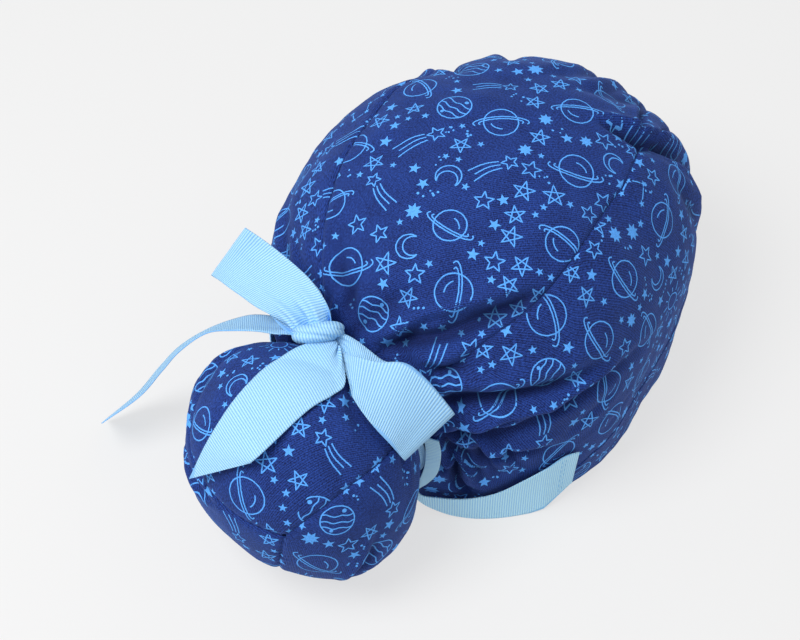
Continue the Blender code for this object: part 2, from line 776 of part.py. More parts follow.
# Hem band round the face opening
angles = np.radians(np.linspace(-180.0, 180.0, HEM_COLUMNS + 1)[:-1])
tops = np.interp(wrap(angles), RIM_ANGLES, HEM_TOP)
band_along = tops[None, :] * np.linspace(0, 1, 4)[:, None]
band = cloth_point(np.broadcast_to(angles, band_along.shape), band_along, 0.0004)
grid_object("hem_band", band, HEM_BLUE, HEM_THICKNESS, -1.0, ring=True, flip=True)

# Ribbon wound round the neck, held across the groove
angles = np.radians(np.linspace(0.0, 360.0, WRAP_COLUMNS + 1)[:-1])
edges = [cloth_point(angles, place, WRAP_CLEARANCE, folds=False) for place in groove_edges(angles)]
across = np.linspace(0, 1, 6)[:, None, None]
bunch = np.array((0.0, 0.0008, 0.0002, 0.0009, 0.0004, 0.0))[:, None, None]
ring = edges[0] + (edges[1] - edges[0]) * across
ring = ring + bunch * unit(ring - RING_MIDDLE)
grid_object("neck_wrap", ring, RIBBON_BLUE, 2 * RIBBON_THICKNESS, -1.0, ring=True, flip=True)

# Knot
polar = np.linspace(-np.pi / 2, np.pi / 2, 11)[1:-1]
round_angles = np.linspace(0, 2 * np.pi, 17)[:-1]
local = np.stack(
    (
        np.broadcast_to(np.sin(polar)[:, None], (9, 16)),
        np.cos(polar)[:, None] * np.cos(round_angles)[None],
        np.cos(polar)[:, None] * np.sin(round_angles)[None],
    ),
    axis=-1,
)
way = unit(local @ KNOT_AXES)
knot_points = KNOT_MIDDLE + knot_reach(way)[..., None] * way
mesh = bpy.data.meshes.new("knot")
corners = [Vector(point) for point in knot_points.reshape(-1, 3)]
ends = [Vector(KNOT_MIDDLE - KNOT_AXES[0] * KNOT_HALF[0]), Vector(KNOT_MIDDLE + KNOT_AXES[0] * KNOT_HALF[0])]
faces = []
for i in range(8):
    for j in range(16):
        k = (j + 1) % 16
        faces.append((i * 16 + j, i * 16 + k, (i + 1) * 16 + k, (i + 1) * 16 + j))
for j in range(16):
    k = (j + 1) % 16
    faces.append((len(corners), k, j))
    faces.append((len(corners) + 1, 8 * 16 + j, 8 * 16 + k))
mesh.from_pydata(corners + ends, [], faces)
mesh.update()
knot = bpy.data.objects.new("knot", mesh)
PARTS.objects.link(knot)
mesh.materials.append(new_material("knot", RIBBON_BLUE, 0.8))

# Bow loops and ribbon ends
left = strip_points(loop_rows(LEFT_LOOP, LOOP_OPENING, 0.0), 22, 6, 0.0014, (0, -1))
grid_object("loop_left", left, RIBBON_BLUE, RIBBON_THICKNESS, 0.0)
right = strip_points(loop_rows(RIGHT_LOOP, LOOP_OPENING, 0.10), 22, 6, 0.0014, (0, -1), KNOT_END_CLEARANCE)
grid_object("loop_right", right, RIBBON_BLUE, RIBBON_THICKNESS, 0.0)
tail = strip_points(FRONT_TAIL, 13, 6, 0.0010)
grid_object("tail_front", tail, RIBBON_BLUE, RIBBON_THICKNESS, 0.0)
tail = strip_points(LEFT_TAIL, 16, 5, 0.0008, (0,), KNOT_END_CLEARANCE)
grid_object("tail_left", tail, RIBBON_BLUE, RIBBON_THICKNESS, 0.0)


def rim_wall(theta, height):
    """Distance of the crown's cloth from its middle axis, below its widest height."""
    drop = (WIDEST_HEIGHT - height) / WIDEST_HEIGHT * (1 - RIM_TUCK**RIM_SQUARENESS) ** (1 / RIM_SQUARENESS)
    return plan_radius(theta) * (1 - drop**RIM_SQUARENESS) ** (1 / RIM_SQUARENESS)


def tie_points(side):
    """Tie from the hem band along the nape and up to the ribbon round the neck."""
    rows = np.array(NAPE_TIE, float)
    theta = np.radians(rows[:, 0]) if side > 0 else np.radians(180.0 - rows[:, 0])
    edges = []
    for share in (rows[:, 1], rows[:, 2]):
        height = share * HEM_HEIGHT
        out = rim_wall(theta, height) + rows[:, 3] * RIBBON_CLEARANCE + RIBBON_THICKNESS / 2
        edges.append(np.stack((out * np.cos(theta), out * np.sin(theta), height), axis=-1))
    on_nape = np.column_stack(((edges[0] + edges[1]) / 2, (edges[0] - edges[1]) / 2))
    mirror = np.array((side, 1.0, 1.0, side, 1.0, 1.0))
    at_neck = np.array(TIE_END) * RIBBON_WIDTH * mirror
    at_neck[:, 0] += RING_MIDDLE[0]
    at_neck[:, 1] += RING_MIDDLE[1]
    at_neck[:, 2] += RING_MIDDLE[2]
    rows = resample(np.vstack((on_nape, at_neck)), 18)
    across = np.linspace(-1, 1, 4)[None, :, None]
    return rows[:, None, :3] + across * rows[:, None, 3:]


grid_object("nape_tie_right", tie_points(1), RIBBON_BLUE, RIBBON_THICKNESS, 0.0)
grid_object("nape_tie_left", tie_points(-1), RIBBON_BLUE, RIBBON_THICKNESS, 0.0)

# Origin under the middle of the whole
depsgraph = bpy.context.evaluated_depsgraph_get()
boxes = np.array([[tuple(corner) for corner in part.evaluated_get(depsgraph).bound_box] for part in PARTS.objects])
low = boxes.min(axis=(0, 1))
high = boxes.max(axis=(0, 1))
shift = Matrix.Translation((-(low[0] + high[0]) / 2, -(low[1] + high[1]) / 2, -low[2]))
for part in PARTS.objects:
    part.data.transform(shift)
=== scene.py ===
"""Scrub cap as photographed: printed cotton, seams, folds and a grosgrain bow, on a white floor."""

import math

import bpy
import numpy as np
from mathutils import Matrix, Vector


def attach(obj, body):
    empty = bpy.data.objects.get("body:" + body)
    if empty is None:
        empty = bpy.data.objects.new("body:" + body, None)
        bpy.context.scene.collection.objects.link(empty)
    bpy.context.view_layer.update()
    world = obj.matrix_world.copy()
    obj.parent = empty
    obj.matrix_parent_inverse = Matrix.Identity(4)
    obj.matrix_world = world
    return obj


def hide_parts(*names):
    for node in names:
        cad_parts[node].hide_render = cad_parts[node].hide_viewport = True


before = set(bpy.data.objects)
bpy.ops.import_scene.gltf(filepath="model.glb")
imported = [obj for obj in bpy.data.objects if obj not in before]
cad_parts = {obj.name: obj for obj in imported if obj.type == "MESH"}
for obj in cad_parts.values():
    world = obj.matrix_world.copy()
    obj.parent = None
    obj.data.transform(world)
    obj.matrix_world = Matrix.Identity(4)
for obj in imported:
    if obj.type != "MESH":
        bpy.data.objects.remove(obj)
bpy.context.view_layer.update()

# Crown sizes
CROWN_WIDTH = 0.2166
CROWN_LENGTH = 0.2516
CROWN_RISE = 0.0965
WIDEST_HEIGHT = 0.071
RIM_TUCK = 0.945
CROWN_SQUARENESS = 2.2
RIM_SQUARENESS = 2.15
NAPE_LIFT = 0.006
HEM_HEIGHT = 0.038
SEAM_DIP = 0.0009

# Neck and pouch sizes
NECK_SHOULDER_ANGLE = 21.0
NECK_DEPTH = 0.014
NECK_HEIGHT = 0.076
NECK_SET_BACK = 0.132
POUCH_WIDTH = 0.126
POUCH_DEPTH = 0.110
POUCH_HEIGHT = 0.128
POUCH_SIDE_SHIFT = -0.020
POUCH_SET_BACK = 0.167
POUCH_START_ANGLE = 61.0
MOUTH_DISTANCE = 0.026
MOUTH_SQUARENESS = 14.0
POUCH_MOUTH = (-0.06, 0.985, -0.12)
POUCH_TIP = (0.39, -0.90, 0.17)

# Fold sizes
FOLD_DEPTH = 0.0060
FOLD_WIDTH = 0.0065
FOLD_RIDGE = 0.60
GATHER_DEPTH = 0.0014
GATHER_REACH = 0.020

# Ribbon sizes
RIBBON_WIDTH = 0.038
RIBBON_THICKNESS = 0.0010
RIBBON_CLEARANCE = 0.0012
WRAP_RISE = 0.0090
WRAP_CLEARANCE = 0.0024
KNOT_LENGTH = 0.031
KNOT_WIDTH = 0.0155
KNOT_DEPTH = 0.015
KNOT_SET_BACK = 0.0030
KNOT_STAND_OFF = 0.0081

# Plan of the crown: compass angle in degrees from the wearer's right, radius as a share of the ellipse
PLAN = (
    (0.0, 0.975), (45.0, 1.017), (90.0, 0.935), (135.0, 0.896), (180.0, 1.025), (225.0, 1.086),
    (270.0, 1.065), (315.0, 1.077),
)

# Seams of the middle panel on the crown: way from neck to rim, right angle, left angle in degrees
CROWN_SEAMS = (
    (0.00, 40.0, -43.0), (0.03, 46.5, -46.0), (0.09, 52.0, -50.0), (0.18, 57.0, -54.5),
    (0.24, 56.0, -55.0), (0.32, 52.5, -52.5), (0.38, 50.0, -50.0), (0.45, 45.5, -45.5),
    (0.51, 39.5, -39.5), (0.62, 34.0, -34.0), (1.00, 30.0, -30.0),
)

# Seams of the middle panel on the pouch: way from neck to tip, right angle, left angle in degrees
POUCH_SEAMS = (
    (0.00, 50.0, -50.0), (0.25, 55.0, -60.0), (0.65, 50.0, -76.0), (1.00, 45.0, -82.0),
)

# Height of the hem band by angle from the forehead in degrees, as a share of its full height
HEM_PROFILE = (
    (0.0, 1.00), (112.0, 1.00), (126.0, 0.80), (140.0, 0.42), (160.0, 0.20), (180.0, 0.16),
)

# Folds of the crown: way from neck to rim, angle in degrees, depth as a share of the fold depth
FOLDS = {
    "deep_pleat": (
        (0.0, 10.0, 0.6), (0.03, 26.0, 1.1), (0.07, 38.0, 1.15), (0.13, 48.0, 0.8), (0.22, 57.0, 0.0),
    ),
    "short_pleat": ((0.0, 37.0, 0.7), (0.02, 46.5, 0.8), (0.06, 52.0, 0.35), (0.12, 55.0, 0.0)),
    "side_pleat": (
        (0.0, 60.0, 0.9), (0.06, 76.0, 0.9), (0.11, 83.5, 0.75), (0.24, 92.0, 0.4), (0.46, 93.5, 0.0),
    ),
    "low_pleat": (
        (0.0, 88.0, 1.0), (0.06, 100.5, 1.0), (0.15, 105.0, 0.9), (0.29, 103.0, 0.7),
        (0.45, 99.0, 0.35), (0.70, 91.0, 0.0),
    ),
    "nape_fold": (
        (0.0, 108.0, 0.4), (0.09, 121.5, 0.9), (0.24, 126.5, 0.9), (0.35, 128.5, 0.3),
        (0.44, 130.0, 0.0),
    ),
    "nape_crease": (
        (0.0, 127.0, 1.1), (0.08, 137.0, 1.0), (0.18, 147.5, 0.9), (0.55, 157.5, 0.5),
        (0.80, 160.0, 0.0),
    ),
    "left_top_pleat": ((0.0, -20.0, 0.5), (0.06, -36.0, 0.5), (0.18, -47.0, 0.0)),
    "left_side_pleat": ((0.0, -60.0, 0.8), (0.06, -74.0, 0.8), (0.20, -82.5, 0.45), (0.40, -86.0, 0.0)),
    "left_low_pleat": (
        (0.0, -88.0, 0.9), (0.08, -100.0, 0.9), (0.26, -105.0, 0.5), (0.52, -101.0, 0.0),
    ),
    "left_nape_crease": (
        (0.0, -127.0, 1.0), (0.08, -138.0, 0.9), (0.30, -151.0, 0.6), (0.75, -159.0, 0.0),
    ),
    "front_middle": ((0.50, -2.0, 0.0), (0.57, 5.0, 0.35), (0.66, 7.0, 0.45), (0.90, 8.0, 0.15)),
    "front_right_a": ((0.50, 9.5, 0.0), (0.56, 15.0, 0.45), (0.65, 16.5, 0.55), (0.90, 17.0, 0.2)),
    "front_right_b": ((0.54, 17.0, 0.0), (0.60, 21.0, 0.4), (0.66, 22.0, 0.5), (0.90, 23.0, 0.2)),
    "front_right_c": (
        (0.48, 26.0, 0.0), (0.53, 35.5, 0.75), (0.57, 39.0, 0.8), (0.66, 41.0, 0.6), (0.90, 42.0, 0.2),
    ),
    "front_right_d": ((0.56, 48.0, 0.0), (0.64, 54.0, 0.55), (0.75, 55.0, 0.5), (0.92, 56.0, 0.1)),
    "front_left_a": ((0.53, -14.0, 0.0), (0.60, -18.0, 0.5), (0.70, -19.0, 0.5), (0.90, -20.0, 0.2)),
    "front_left_b": (
        (0.48, -25.0, 0.0), (0.54, -35.0, 0.8), (0.59, -39.0, 0.9), (0.70, -41.0, 0.6),
        (0.90, -42.0, 0.2),
    ),
    "front_left_c": ((0.56, -47.0, 0.0), (0.65, -53.0, 0.5), (0.78, -54.0, 0.4), (0.92, -55.0, 0.1)),
}

# Small gathers at the neck: angle in degrees, width in degrees, depth as a share of the gather depth
GATHERS = (
    (-170.0, 9.0, 1.0), (-148.0, 8.0, 0.8), (-104.0, 9.0, 1.0), (-70.0, 8.0, 0.7), (-30.0, 7.0, 0.9),
    (-4.0, 8.0, 0.8), (22.0, 7.0, 0.9), (66.0, 8.0, 0.8), (98.0, 9.0, 1.0), (142.0, 8.0, 0.9),
    (166.0, 9.0, 1.0),
)

# Pushes of the pouch: direction right, forward, up, spread in degrees, height as a share of its radius
POUCH_PUSHES = (
    (0.74, -0.34, -0.58, 22.0, 0.085), (-0.90, 0.03, 0.43, 24.0, 0.050),
    (-0.91, -0.40, 0.13, 20.0, -0.045), (-0.35, -0.83, -0.42, 24.0, -0.040),
    (0.10, -0.35, 0.93, 34.0, 0.020), (-0.14, 0.42, 0.90, 15.0, -0.055),
)

# Left ribbon end from the knot: right, forward, up of its middle, then of half its width, in ribbon widths
LEFT_TAIL = (
    (-0.42, -0.01, -0.06, -0.07, 0.11, -0.06), (-0.69, 0.03, -0.16, -0.16, 0.24, -0.17),
    (-1.00, 0.03, -0.29, -0.22, 0.29, -0.26), (-1.37, -0.02, -0.50, -0.21, 0.30, -0.32),
    (-1.78, -0.07, -0.83, -0.21, 0.26, -0.36), (-2.19, -0.22, -1.31, -0.22, 0.26, -0.36),
    (-2.48, -0.32, -1.81, -0.23, 0.25, -0.36), (-2.85, -0.53, -2.47, -0.23, 0.23, -0.37),
    (-3.18, -0.94, -2.81, -0.19, 0.24, -0.36),
)

# Tie along the nape: compass angle in degrees, top and bottom edge in hem heights, lift in clearances
NAPE_TIE = (
    (-39.5, 1.10, 0.22, 1.1), (-43.5, 1.16, 0.20, 1.1), (-48.0, 1.05, 0.14, 1.8),
    (-54.0, 0.88, 0.08, 2.4), (-60.0, 0.66, 0.07, 2.8), (-67.0, 0.53, 0.07, 2.8),
    (-73.0, 0.49, 0.12, 2.6), (-77.5, 0.51, 0.27, 2.8),
)

# End of a tie up to the ribbon round the neck, from the middle of that ring, in ribbon widths
TIE_END = (
    (0.99, 0.10, -1.28, 0.03, 0.00, 0.10), (1.08, 0.08, -0.98, 0.08, 0.02, 0.06),
    (1.21, 0.05, -0.62, 0.10, 0.03, 0.04), (1.28, 0.02, -0.25, 0.10, 0.03, 0.02),
    (1.29, 0.01, 0.05, 0.10, 0.03, 0.00), (1.26, 0.00, 0.30, 0.10, 0.03, -0.02),
)

# Knot: run of the wound strip, then the way it faces, right, forward, up
KNOT_RUN = (0.83, 0.54, -0.12)
KNOT_FACE = (0.35, -0.54, 0.77)
KNOT_ON_NECK = (-0.260, 0.966)

# Shares of the way along at which the neck starts and ends
NECK_START = 0.60
NECK_END = 0.72

# Small step in angle and in way along, for slopes of the cloth
STEP = 0.002


def unit(vectors):
    return vectors / np.maximum(np.linalg.norm(vectors, axis=-1, keepdims=True), 1e-12)


def curve(rows, at):
    """Smooth line through the rows of a table: first column against all the others."""
    rows = np.array(rows, float)
    x = rows[:, 0]
    y = rows[:, 1:]
    slope = np.gradient(y, x, axis=0)
    at = np.clip(np.asarray(at, float), x[0], x[-1])
    i = np.clip(np.searchsorted(x, at, side="right") - 1, 0, len(x) - 2)
    h = (x[i + 1] - x[i])[..., None]
    k = ((at - x[i]) / (x[i + 1] - x[i]))[..., None]
    return (
        (2 * k**3 - 3 * k**2 + 1) * y[i]
        + (k**3 - 2 * k**2 + k) * h * slope[i]
        + (3 * k**2 - 2 * k**3) * y[i + 1]
        + (k**3 - k**2) * h * slope[i + 1]
    )


def wrap(angle):
    return (angle + np.pi) % (2 * np.pi) - np.pi


CROWN_MIDDLE = np.array((0.0, 0.0, WIDEST_HEIGHT))
NECK_MIDDLE = np.array((0.0, -NECK_SET_BACK, NECK_HEIGHT))
POUCH_MIDDLE = np.array((POUCH_SIDE_SHIFT, -POUCH_SET_BACK, POUCH_HEIGHT / 2))
POUCH_RADII = np.array((POUCH_WIDTH, POUCH_DEPTH, POUCH_HEIGHT)) / 2
BACKWARDS = unit(NECK_MIDDLE - CROWN_MIDDLE)
UPWARDS = unit(np.array((0.0, 0.05, 1.0)))
TO_NECK = unit(np.array(POUCH_MOUTH))
TIP = unit(np.array(POUCH_TIP))
SHOULDER = np.radians(NECK_SHOULDER_ANGLE)
POUCH_START = np.radians(POUCH_START_ANGLE)


def plan_radius(theta):
    rows = np.array(PLAN)
    away = np.abs(wrap(theta[..., None] - np.radians(rows[:, 0]))) / np.radians(45.0)
    share = np.where(away < 1, 0.5 + 0.5 * np.cos(np.pi * away), 0.0) @ rows[:, 1]
    ellipse = 1.0 / np.hypot(np.cos(theta) / (CROWN_WIDTH / 2), np.sin(theta) / (CROWN_LENGTH / 2))
    return share * ellipse


def crown_reach(way):
    """Distance from the crown's middle to its cloth, along unit directions."""
    theta = np.arctan2(way[..., 1], way[..., 0])
    out = np.hypot(way[..., 0], way[..., 1]) / plan_radius(theta)
    below = WIDEST_HEIGHT / (1 - RIM_TUCK**RIM_SQUARENESS) ** (1 / RIM_SQUARENESS)
    rise = np.maximum(way[..., 2], 0) / CROWN_RISE
    drop = np.maximum(-way[..., 2], 0) / below
    over = (out**CROWN_SQUARENESS + rise**CROWN_SQUARENESS) ** (-1 / CROWN_SQUARENESS)
    under = (out**RIM_SQUARENESS + drop**RIM_SQUARENESS) ** (-1 / RIM_SQUARENESS)
    return np.where(way[..., 2] > 0, over, under)


def pouch_reach(way):
    """Distance from the pouch's middle to its cloth, along unit directions."""
    reach = 1.0 / np.linalg.norm(way / POUCH_RADII, axis=-1)
    push = np.ones(reach.shape)
    for right, forward, up, spread, height in POUCH_PUSHES:
        angle = np.arccos(np.clip(way @ unit(np.array((right, forward, up))), -1, 1))
        push = push + height * np.exp(-((angle / np.radians(spread)) ** 2))
    reach = reach * push
    flat = np.maximum(way @ TO_NECK, 0) / MOUTH_DISTANCE
    return (reach**-MOUTH_SQUARENESS + flat**MOUTH_SQUARENESS) ** (-1 / MOUTH_SQUARENESS)


def on_circle(phi, middle, radius, on_pouch=False):
    """Directions on a circle of directions: angle 0 is its upper side, 90 degrees its right."""
    if on_pouch:
        upright = np.array((0.0, 0.0, 1.0))
        above = unit(upright - (middle @ upright)[..., None] * middle)
        right = np.cross(middle, above)
    else:
        right = np.broadcast_to(np.array((1.0, 0.0, 0.0)), middle.shape)
        above = unit(np.cross(middle, right))
    spoke = np.sin(phi)[..., None] * right + np.cos(phi)[..., None] * above
    return np.cos(radius)[..., None] * middle + np.sin(radius)[..., None] * spoke


def between(start, end, share):
    angle = np.arccos(np.clip(start @ end, -1, 1))
    share = np.asarray(share)[..., None]
    return (np.sin((1 - share) * angle) * start + np.sin(share * angle) * end) / np.sin(angle)


def rim_height(phi):
    away = np.clip((np.abs(wrap(phi)) - np.radians(125.0)) / np.radians(55.0), 0, 1)
    return NAPE_LIFT * away**2 * (3 - 2 * away)


def rim_radius(phi):
    middle = np.broadcast_to(UPWARDS, phi.shape + (3,))
    low = np.full(phi.shape, np.radians(80.0))
    high = np.full(phi.shape, np.radians(170.0))
    for _ in range(36):
        half = (low + high) / 2
        way = on_circle(phi, middle, half)
        height = CROWN_MIDDLE[2] + crown_reach(way) * way[..., 2]
        above = height > rim_height(phi)
        low = np.where(above, half, low)
        high = np.where(above, high, half)
    return (low + high) / 2


RIM_ANGLES = np.radians(np.arange(-180.0, 181.0, 2.0))
RIM_RADII = rim_radius(RIM_ANGLES)


def crown_way(phi, share):
    radius = SHOULDER + (np.interp(wrap(phi), RIM_ANGLES, RIM_RADII) - SHOULDER) * share
    return on_circle(phi, between(BACKWARDS, UPWARDS, share), radius)


def crown_point(way):
    return CROWN_MIDDLE + crown_reach(way)[..., None] * way


def pouch_point(way):
    return POUCH_MIDDLE + pouch_reach(way)[..., None] * way


def pouch_way(phi, share):
    radius = POUCH_START + (np.pi - POUCH_START) * share
    return on_circle(phi, between(TO_NECK, -TIP, share), radius, on_pouch=True)


def neck_point(phi, share):
    """Groove between crown and pouch, joined smoothly to both."""
    near = np.broadcast_to(BACKWARDS, phi.shape + (3,))
    far = np.broadcast_to(TO_NECK, phi.shape + (3,))
    wide = np.full(phi.shape, SHOULDER)
    start = crown_point(on_circle(phi, near, wide))
    start_way = unit(crown_point(on_circle(phi, near, wide - 0.02)) - start)
    wide = np.full(phi.shape, POUCH_START)
    end = pouch_point(on_circle(phi, far, wide, on_pouch=True))
    end_way = unit(pouch_point(on_circle(phi, far, wide - 0.02, on_pouch=True)) - end)
    k = share[..., None]
    return (
        (1 - k) ** 3 * start
        + 3 * (1 - k) ** 2 * k * (start + NECK_DEPTH * start_way)
        + 3 * (1 - k) * k**2 * (end + NECK_DEPTH * end_way)
        + k**3 * end
    )


def base_point(phi, along):
    """Smooth cloth surface: along runs from 0 at the rim over the neck to 1 at the pouch's tip."""
    phi, along = np.broadcast_arrays(np.asarray(phi, float), np.asarray(along, float))
    crown = crown_point(crown_way(phi, np.clip(1 - along / NECK_START, 0, 1)))
    neck = neck_point(phi, np.clip((along - NECK_START) / (NECK_END - NECK_START), 0, 1))
    pouch = pouch_point(pouch_way(phi, np.clip((along - NECK_END) / (1 - NECK_END), 0, 1)))
    point = np.where((along < NECK_START)[..., None], crown, neck)
    return np.where((along > NECK_END)[..., None], pouch, point)


def seam_angles(along):
    """Right and left seam of the middle panel, in radians."""
    on_crown = curve(CROWN_SEAMS, 1 - along / NECK_START)
    on_pouch = curve(POUCH_SEAMS, (along - NECK_END) / (1 - NECK_END))
    k = np.clip((along - NECK_START) / (NECK_END - NECK_START), 0, 1)[..., None]
    past_crown = on_crown * (1 - k) + on_pouch * k
    return np.radians(np.where((along < NECK_START)[..., None], on_crown, past_crown))


def fold_height(phi, along, per_radian, point):
    """How far folds, gathers and seams move the cloth out or in."""
    share = np.clip(1 - along / NECK_START, 0, 1)
    past_neck = np.clip((along - NECK_START) / (NECK_END - NECK_START), 0, 1)
    height = np.zeros(phi.shape)
    for rows in FOLDS.values():
        place = curve(rows, share)
        depth = FOLD_DEPTH * np.maximum(place[..., 1], 0)
        depth = np.where(share < rows[0][0], 0, depth) * np.clip(1 - 4 * past_neck, 0, 1) ** 2
        depth = np.where(share > rows[-1][0], depth * 0.9 ** ((share - rows[-1][0]) / 0.01), depth)
        x = wrap(phi - np.radians(place[..., 0])) * per_radian / FOLD_WIDTH
        valley = np.where(x > 0, np.exp(-(x**2)), np.exp(-((1.5 * x) ** 2)))
        ridge = FOLD_RIDGE * np.exp(-(((x + 1.25) / 0.95) ** 2))
        height = height + depth * (ridge - valley)
    from_crown = np.arccos(np.clip(unit(point - CROWN_MIDDLE) @ BACKWARDS, -1, 1)) - SHOULDER
    from_pouch = np.arccos(np.clip(unit(point - POUCH_MIDDLE) @ TO_NECK, -1, 1)) - POUCH_START
    away = np.where(along < NECK_START, from_crown * NECK_SET_BACK, from_pouch * POUCH_RADII[0])
    away = np.where((along >= NECK_START) & (along <= NECK_END), 0, np.maximum(away, 0))
    for middle, width, depth in GATHERS:
        x = wrap(phi - np.radians(middle)) / np.radians(width)
        height = height - GATHER_DEPTH * depth * np.exp(-(x**2)) * np.exp(-away / GATHER_REACH)
    seams = seam_angles(along)
    for seam in (seams[..., 0], seams[..., 1], np.full(phi.shape, np.pi)):
        x = wrap(phi - seam) * per_radian / (2.2 * SEAM_DIP)
        height = height - SEAM_DIP * np.exp(-(x**2))
    return height


def cloth_frame(phi, along):
    """How far the cloth runs across for each radian, and the way out of it."""
    across = (base_point(phi + STEP, along) - base_point(phi - STEP, along)) / (2 * STEP)
    near = np.clip(along - STEP, 0, 1)
    far = np.clip(along + STEP, 0, 1)
    out = unit(np.cross(base_point(phi, far) - base_point(phi, near), across))
    return np.linalg.norm(across, axis=-1), out


def cloth_point(phi, along, lift=0.0, folds=True):
    """Point of the outer cloth surface, with its folds unless left out."""
    phi, along = np.broadcast_arrays(np.asarray(phi, float), np.asarray(along, float))
    point = base_point(phi, along)
    per_radian, out = cloth_frame(phi, along)
    height = fold_height(phi, along, per_radian, point) if folds else 0.0
    return point + (height + lift * np.ones(phi.shape))[..., None] * out


def walk(line):
    """Length walked along a line of points, from 0 at the first."""
    return np.concatenate(((0.0,), np.cumsum(np.linalg.norm(np.diff(line, axis=0), axis=1))))


def hem_top():
    """Share of the way along at which the hem band ends for each rim angle."""
    along = np.linspace(0, NECK_START, 241)
    tops = []
    for phi in RIM_ANGLES:
        line = base_point(np.full(along.shape, phi), along)
        height = HEM_HEIGHT * curve(HEM_PROFILE, abs(np.degrees(phi)))[0]
        tops.append(np.interp(height, walk(line), along))
    return np.array(tops)


HEM_TOP = hem_top()


def knot_frame():
    face = unit(np.array(KNOT_FACE))
    run = np.array(KNOT_RUN)
    run = unit(run - (run @ face) * face)
    return run, np.cross(face, run), face


def neck_radius():
    """Middle and mean radius of the neck."""
    ring = base_point(np.radians(np.arange(0.0, 360.0, 10.0)), np.full(36, (NECK_START + NECK_END) / 2))
    return ring.mean(axis=0), np.linalg.norm(ring - ring.mean(axis=0), axis=1).mean()


RING_MIDDLE, RING_RADIUS = neck_radius()


def groove_edges(angles):
    """Ways along on both sides of the groove's floor at which its walls have risen by the wrap's rise."""
    along = NECK_START + (NECK_END - NECK_START) * np.linspace(0.18, 1.5, 301)
    line = base_point(angles[None, :], along[:, None])
    away = np.linalg.norm((line - RING_MIDDLE)[..., (0, 2)], axis=-1)
    floor = np.argmin(away[:240], axis=0)
    sides = []
    for way in (-1, 1):
        place = floor.copy()
        for _ in range(150):
            rise = away[place, np.arange(len(angles))] - away[floor, np.arange(len(angles))]
            place = np.where(rise < WRAP_RISE, np.clip(place + way, 0, 300), place)
        place = along[place]
        for _ in range(3):
            place = (np.roll(place, 1) + 2 * place + np.roll(place, -1)) / 4
        sides.append(place)
    return sides


WRAP_RADIUS = RING_RADIUS + WRAP_CLEARANCE + 2 * RIBBON_THICKNESS
KNOT_DISTANCE = WRAP_RADIUS + KNOT_STAND_OFF + KNOT_DEPTH / 2
KNOT_MIDDLE = RING_MIDDLE + np.array(
    (KNOT_DISTANCE * KNOT_ON_NECK[0], -KNOT_SET_BACK, KNOT_DISTANCE * KNOT_ON_NECK[1])
)
KNOT_AXES = np.array(knot_frame())
KNOT_HALF = np.array((KNOT_LENGTH, KNOT_WIDTH, KNOT_DEPTH)) / 2


def knot_reach(way):
    local = np.abs(way @ KNOT_AXES.T) / KNOT_HALF
    return (local[..., 0] ** 2.6 + local[..., 1] ** 2.6 + local[..., 2] ** 2.2) ** (-1 / 2.4)


def wrap_reach(way):
    """Ball that holds the ribbon round the neck."""
    return np.full(way.shape[:-1], WRAP_RADIUS + 0.0040)


def resample(rows, count):
    """Rows of a strip at even steps along its middle line."""
    rows = np.array(rows, float)
    walked = walk(rows[:, :3])
    return curve(np.column_stack((walked, rows)), np.linspace(0, walked[-1], count))


def middle_edges(along):
    seams = seam_angles(along)
    return seams[..., 1], seams[..., 0]


def right_edges(along):
    seams = seam_angles(along)
    return seams[..., 0], np.full(along.shape, np.pi)


def left_edges(along):
    seams = seam_angles(along)
    return np.full(along.shape, -np.pi), seams[..., 1]


def rim_wall(theta, height):
    """Distance of the crown's cloth from its middle axis, below its widest height."""
    full = (1 - RIM_TUCK**RIM_SQUARENESS) ** (1 / RIM_SQUARENESS)
    drop = (WIDEST_HEIGHT - height) / WIDEST_HEIGHT * full
    return plan_radius(theta) * (1 - drop**RIM_SQUARENESS) ** (1 / RIM_SQUARENESS)


def tie_points(side, count, columns):
    """Tie from the hem band along the nape and up to the ribbon round the neck."""
    rows = np.array(NAPE_TIE, float)
    theta = np.radians(rows[:, 0]) if side > 0 else np.radians(180.0 - rows[:, 0])
    edges = []
    for share in (rows[:, 1], rows[:, 2]):
        height = share * HEM_HEIGHT
        out = rim_wall(theta, height) + rows[:, 3] * RIBBON_CLEARANCE + RIBBON_THICKNESS / 2
        edges.append(np.stack((out * np.cos(theta), out * np.sin(theta), height), axis=-1))
    on_nape = np.column_stack(((edges[0] + edges[1]) / 2, (edges[0] - edges[1]) / 2))
    mirror = np.array((side, 1.0, 1.0, side, 1.0, 1.0))
    at_neck = np.array(TIE_END) * RIBBON_WIDTH * mirror
    at_neck[:, :3] += RING_MIDDLE
    rows = resample(np.vstack((on_nape, at_neck)), count)
    across = np.linspace(-1, 1, columns)[None, :, None]
    return rows[:, None, :3] + across * rows[:, None, 3:]


# Walls of cloth and ribbon, and how far panels reach under the hem and over each other
CLOTH_WALL = 0.0009
HEM_WALL = 0.0018
RIBBON_WALL = 0.0006
HEM_TUCK = 0.0040
SEAM_OVERLAP = 0.00010

# Radius round the pouch's tip at which the panels end
TIP_RADIUS = 0.0009

# Hem band: lift, roll of the lower edge, shares of the height where that ends and the top flattens
HEM_LIFT = 0.0005
HEM_ROLL = 0.0009
HEM_ROLL_END = 0.05
HEM_FLAT_START = 0.93

# Soft waves, the depth at which painted shade in hollows is full, and the puckers along seams
SOFT_DEPTH = 0.00065
SOFT_SIZE = 0.045
SMALL_SOFT_DEPTH = 0.00026
SMALL_SOFT_SIZE = 0.017
HOLLOW_SHADE_DEPTH = 0.0048
PUCKER_DEPTH = 0.00030
PUCKER_PITCH = 0.0046
PUCKER_REACH = 0.0055
SEAM_LINE_DEPTH = 0.0005
SEAM_LINE_WIDTH = 0.0007
RIM_TO_NECK = 0.26

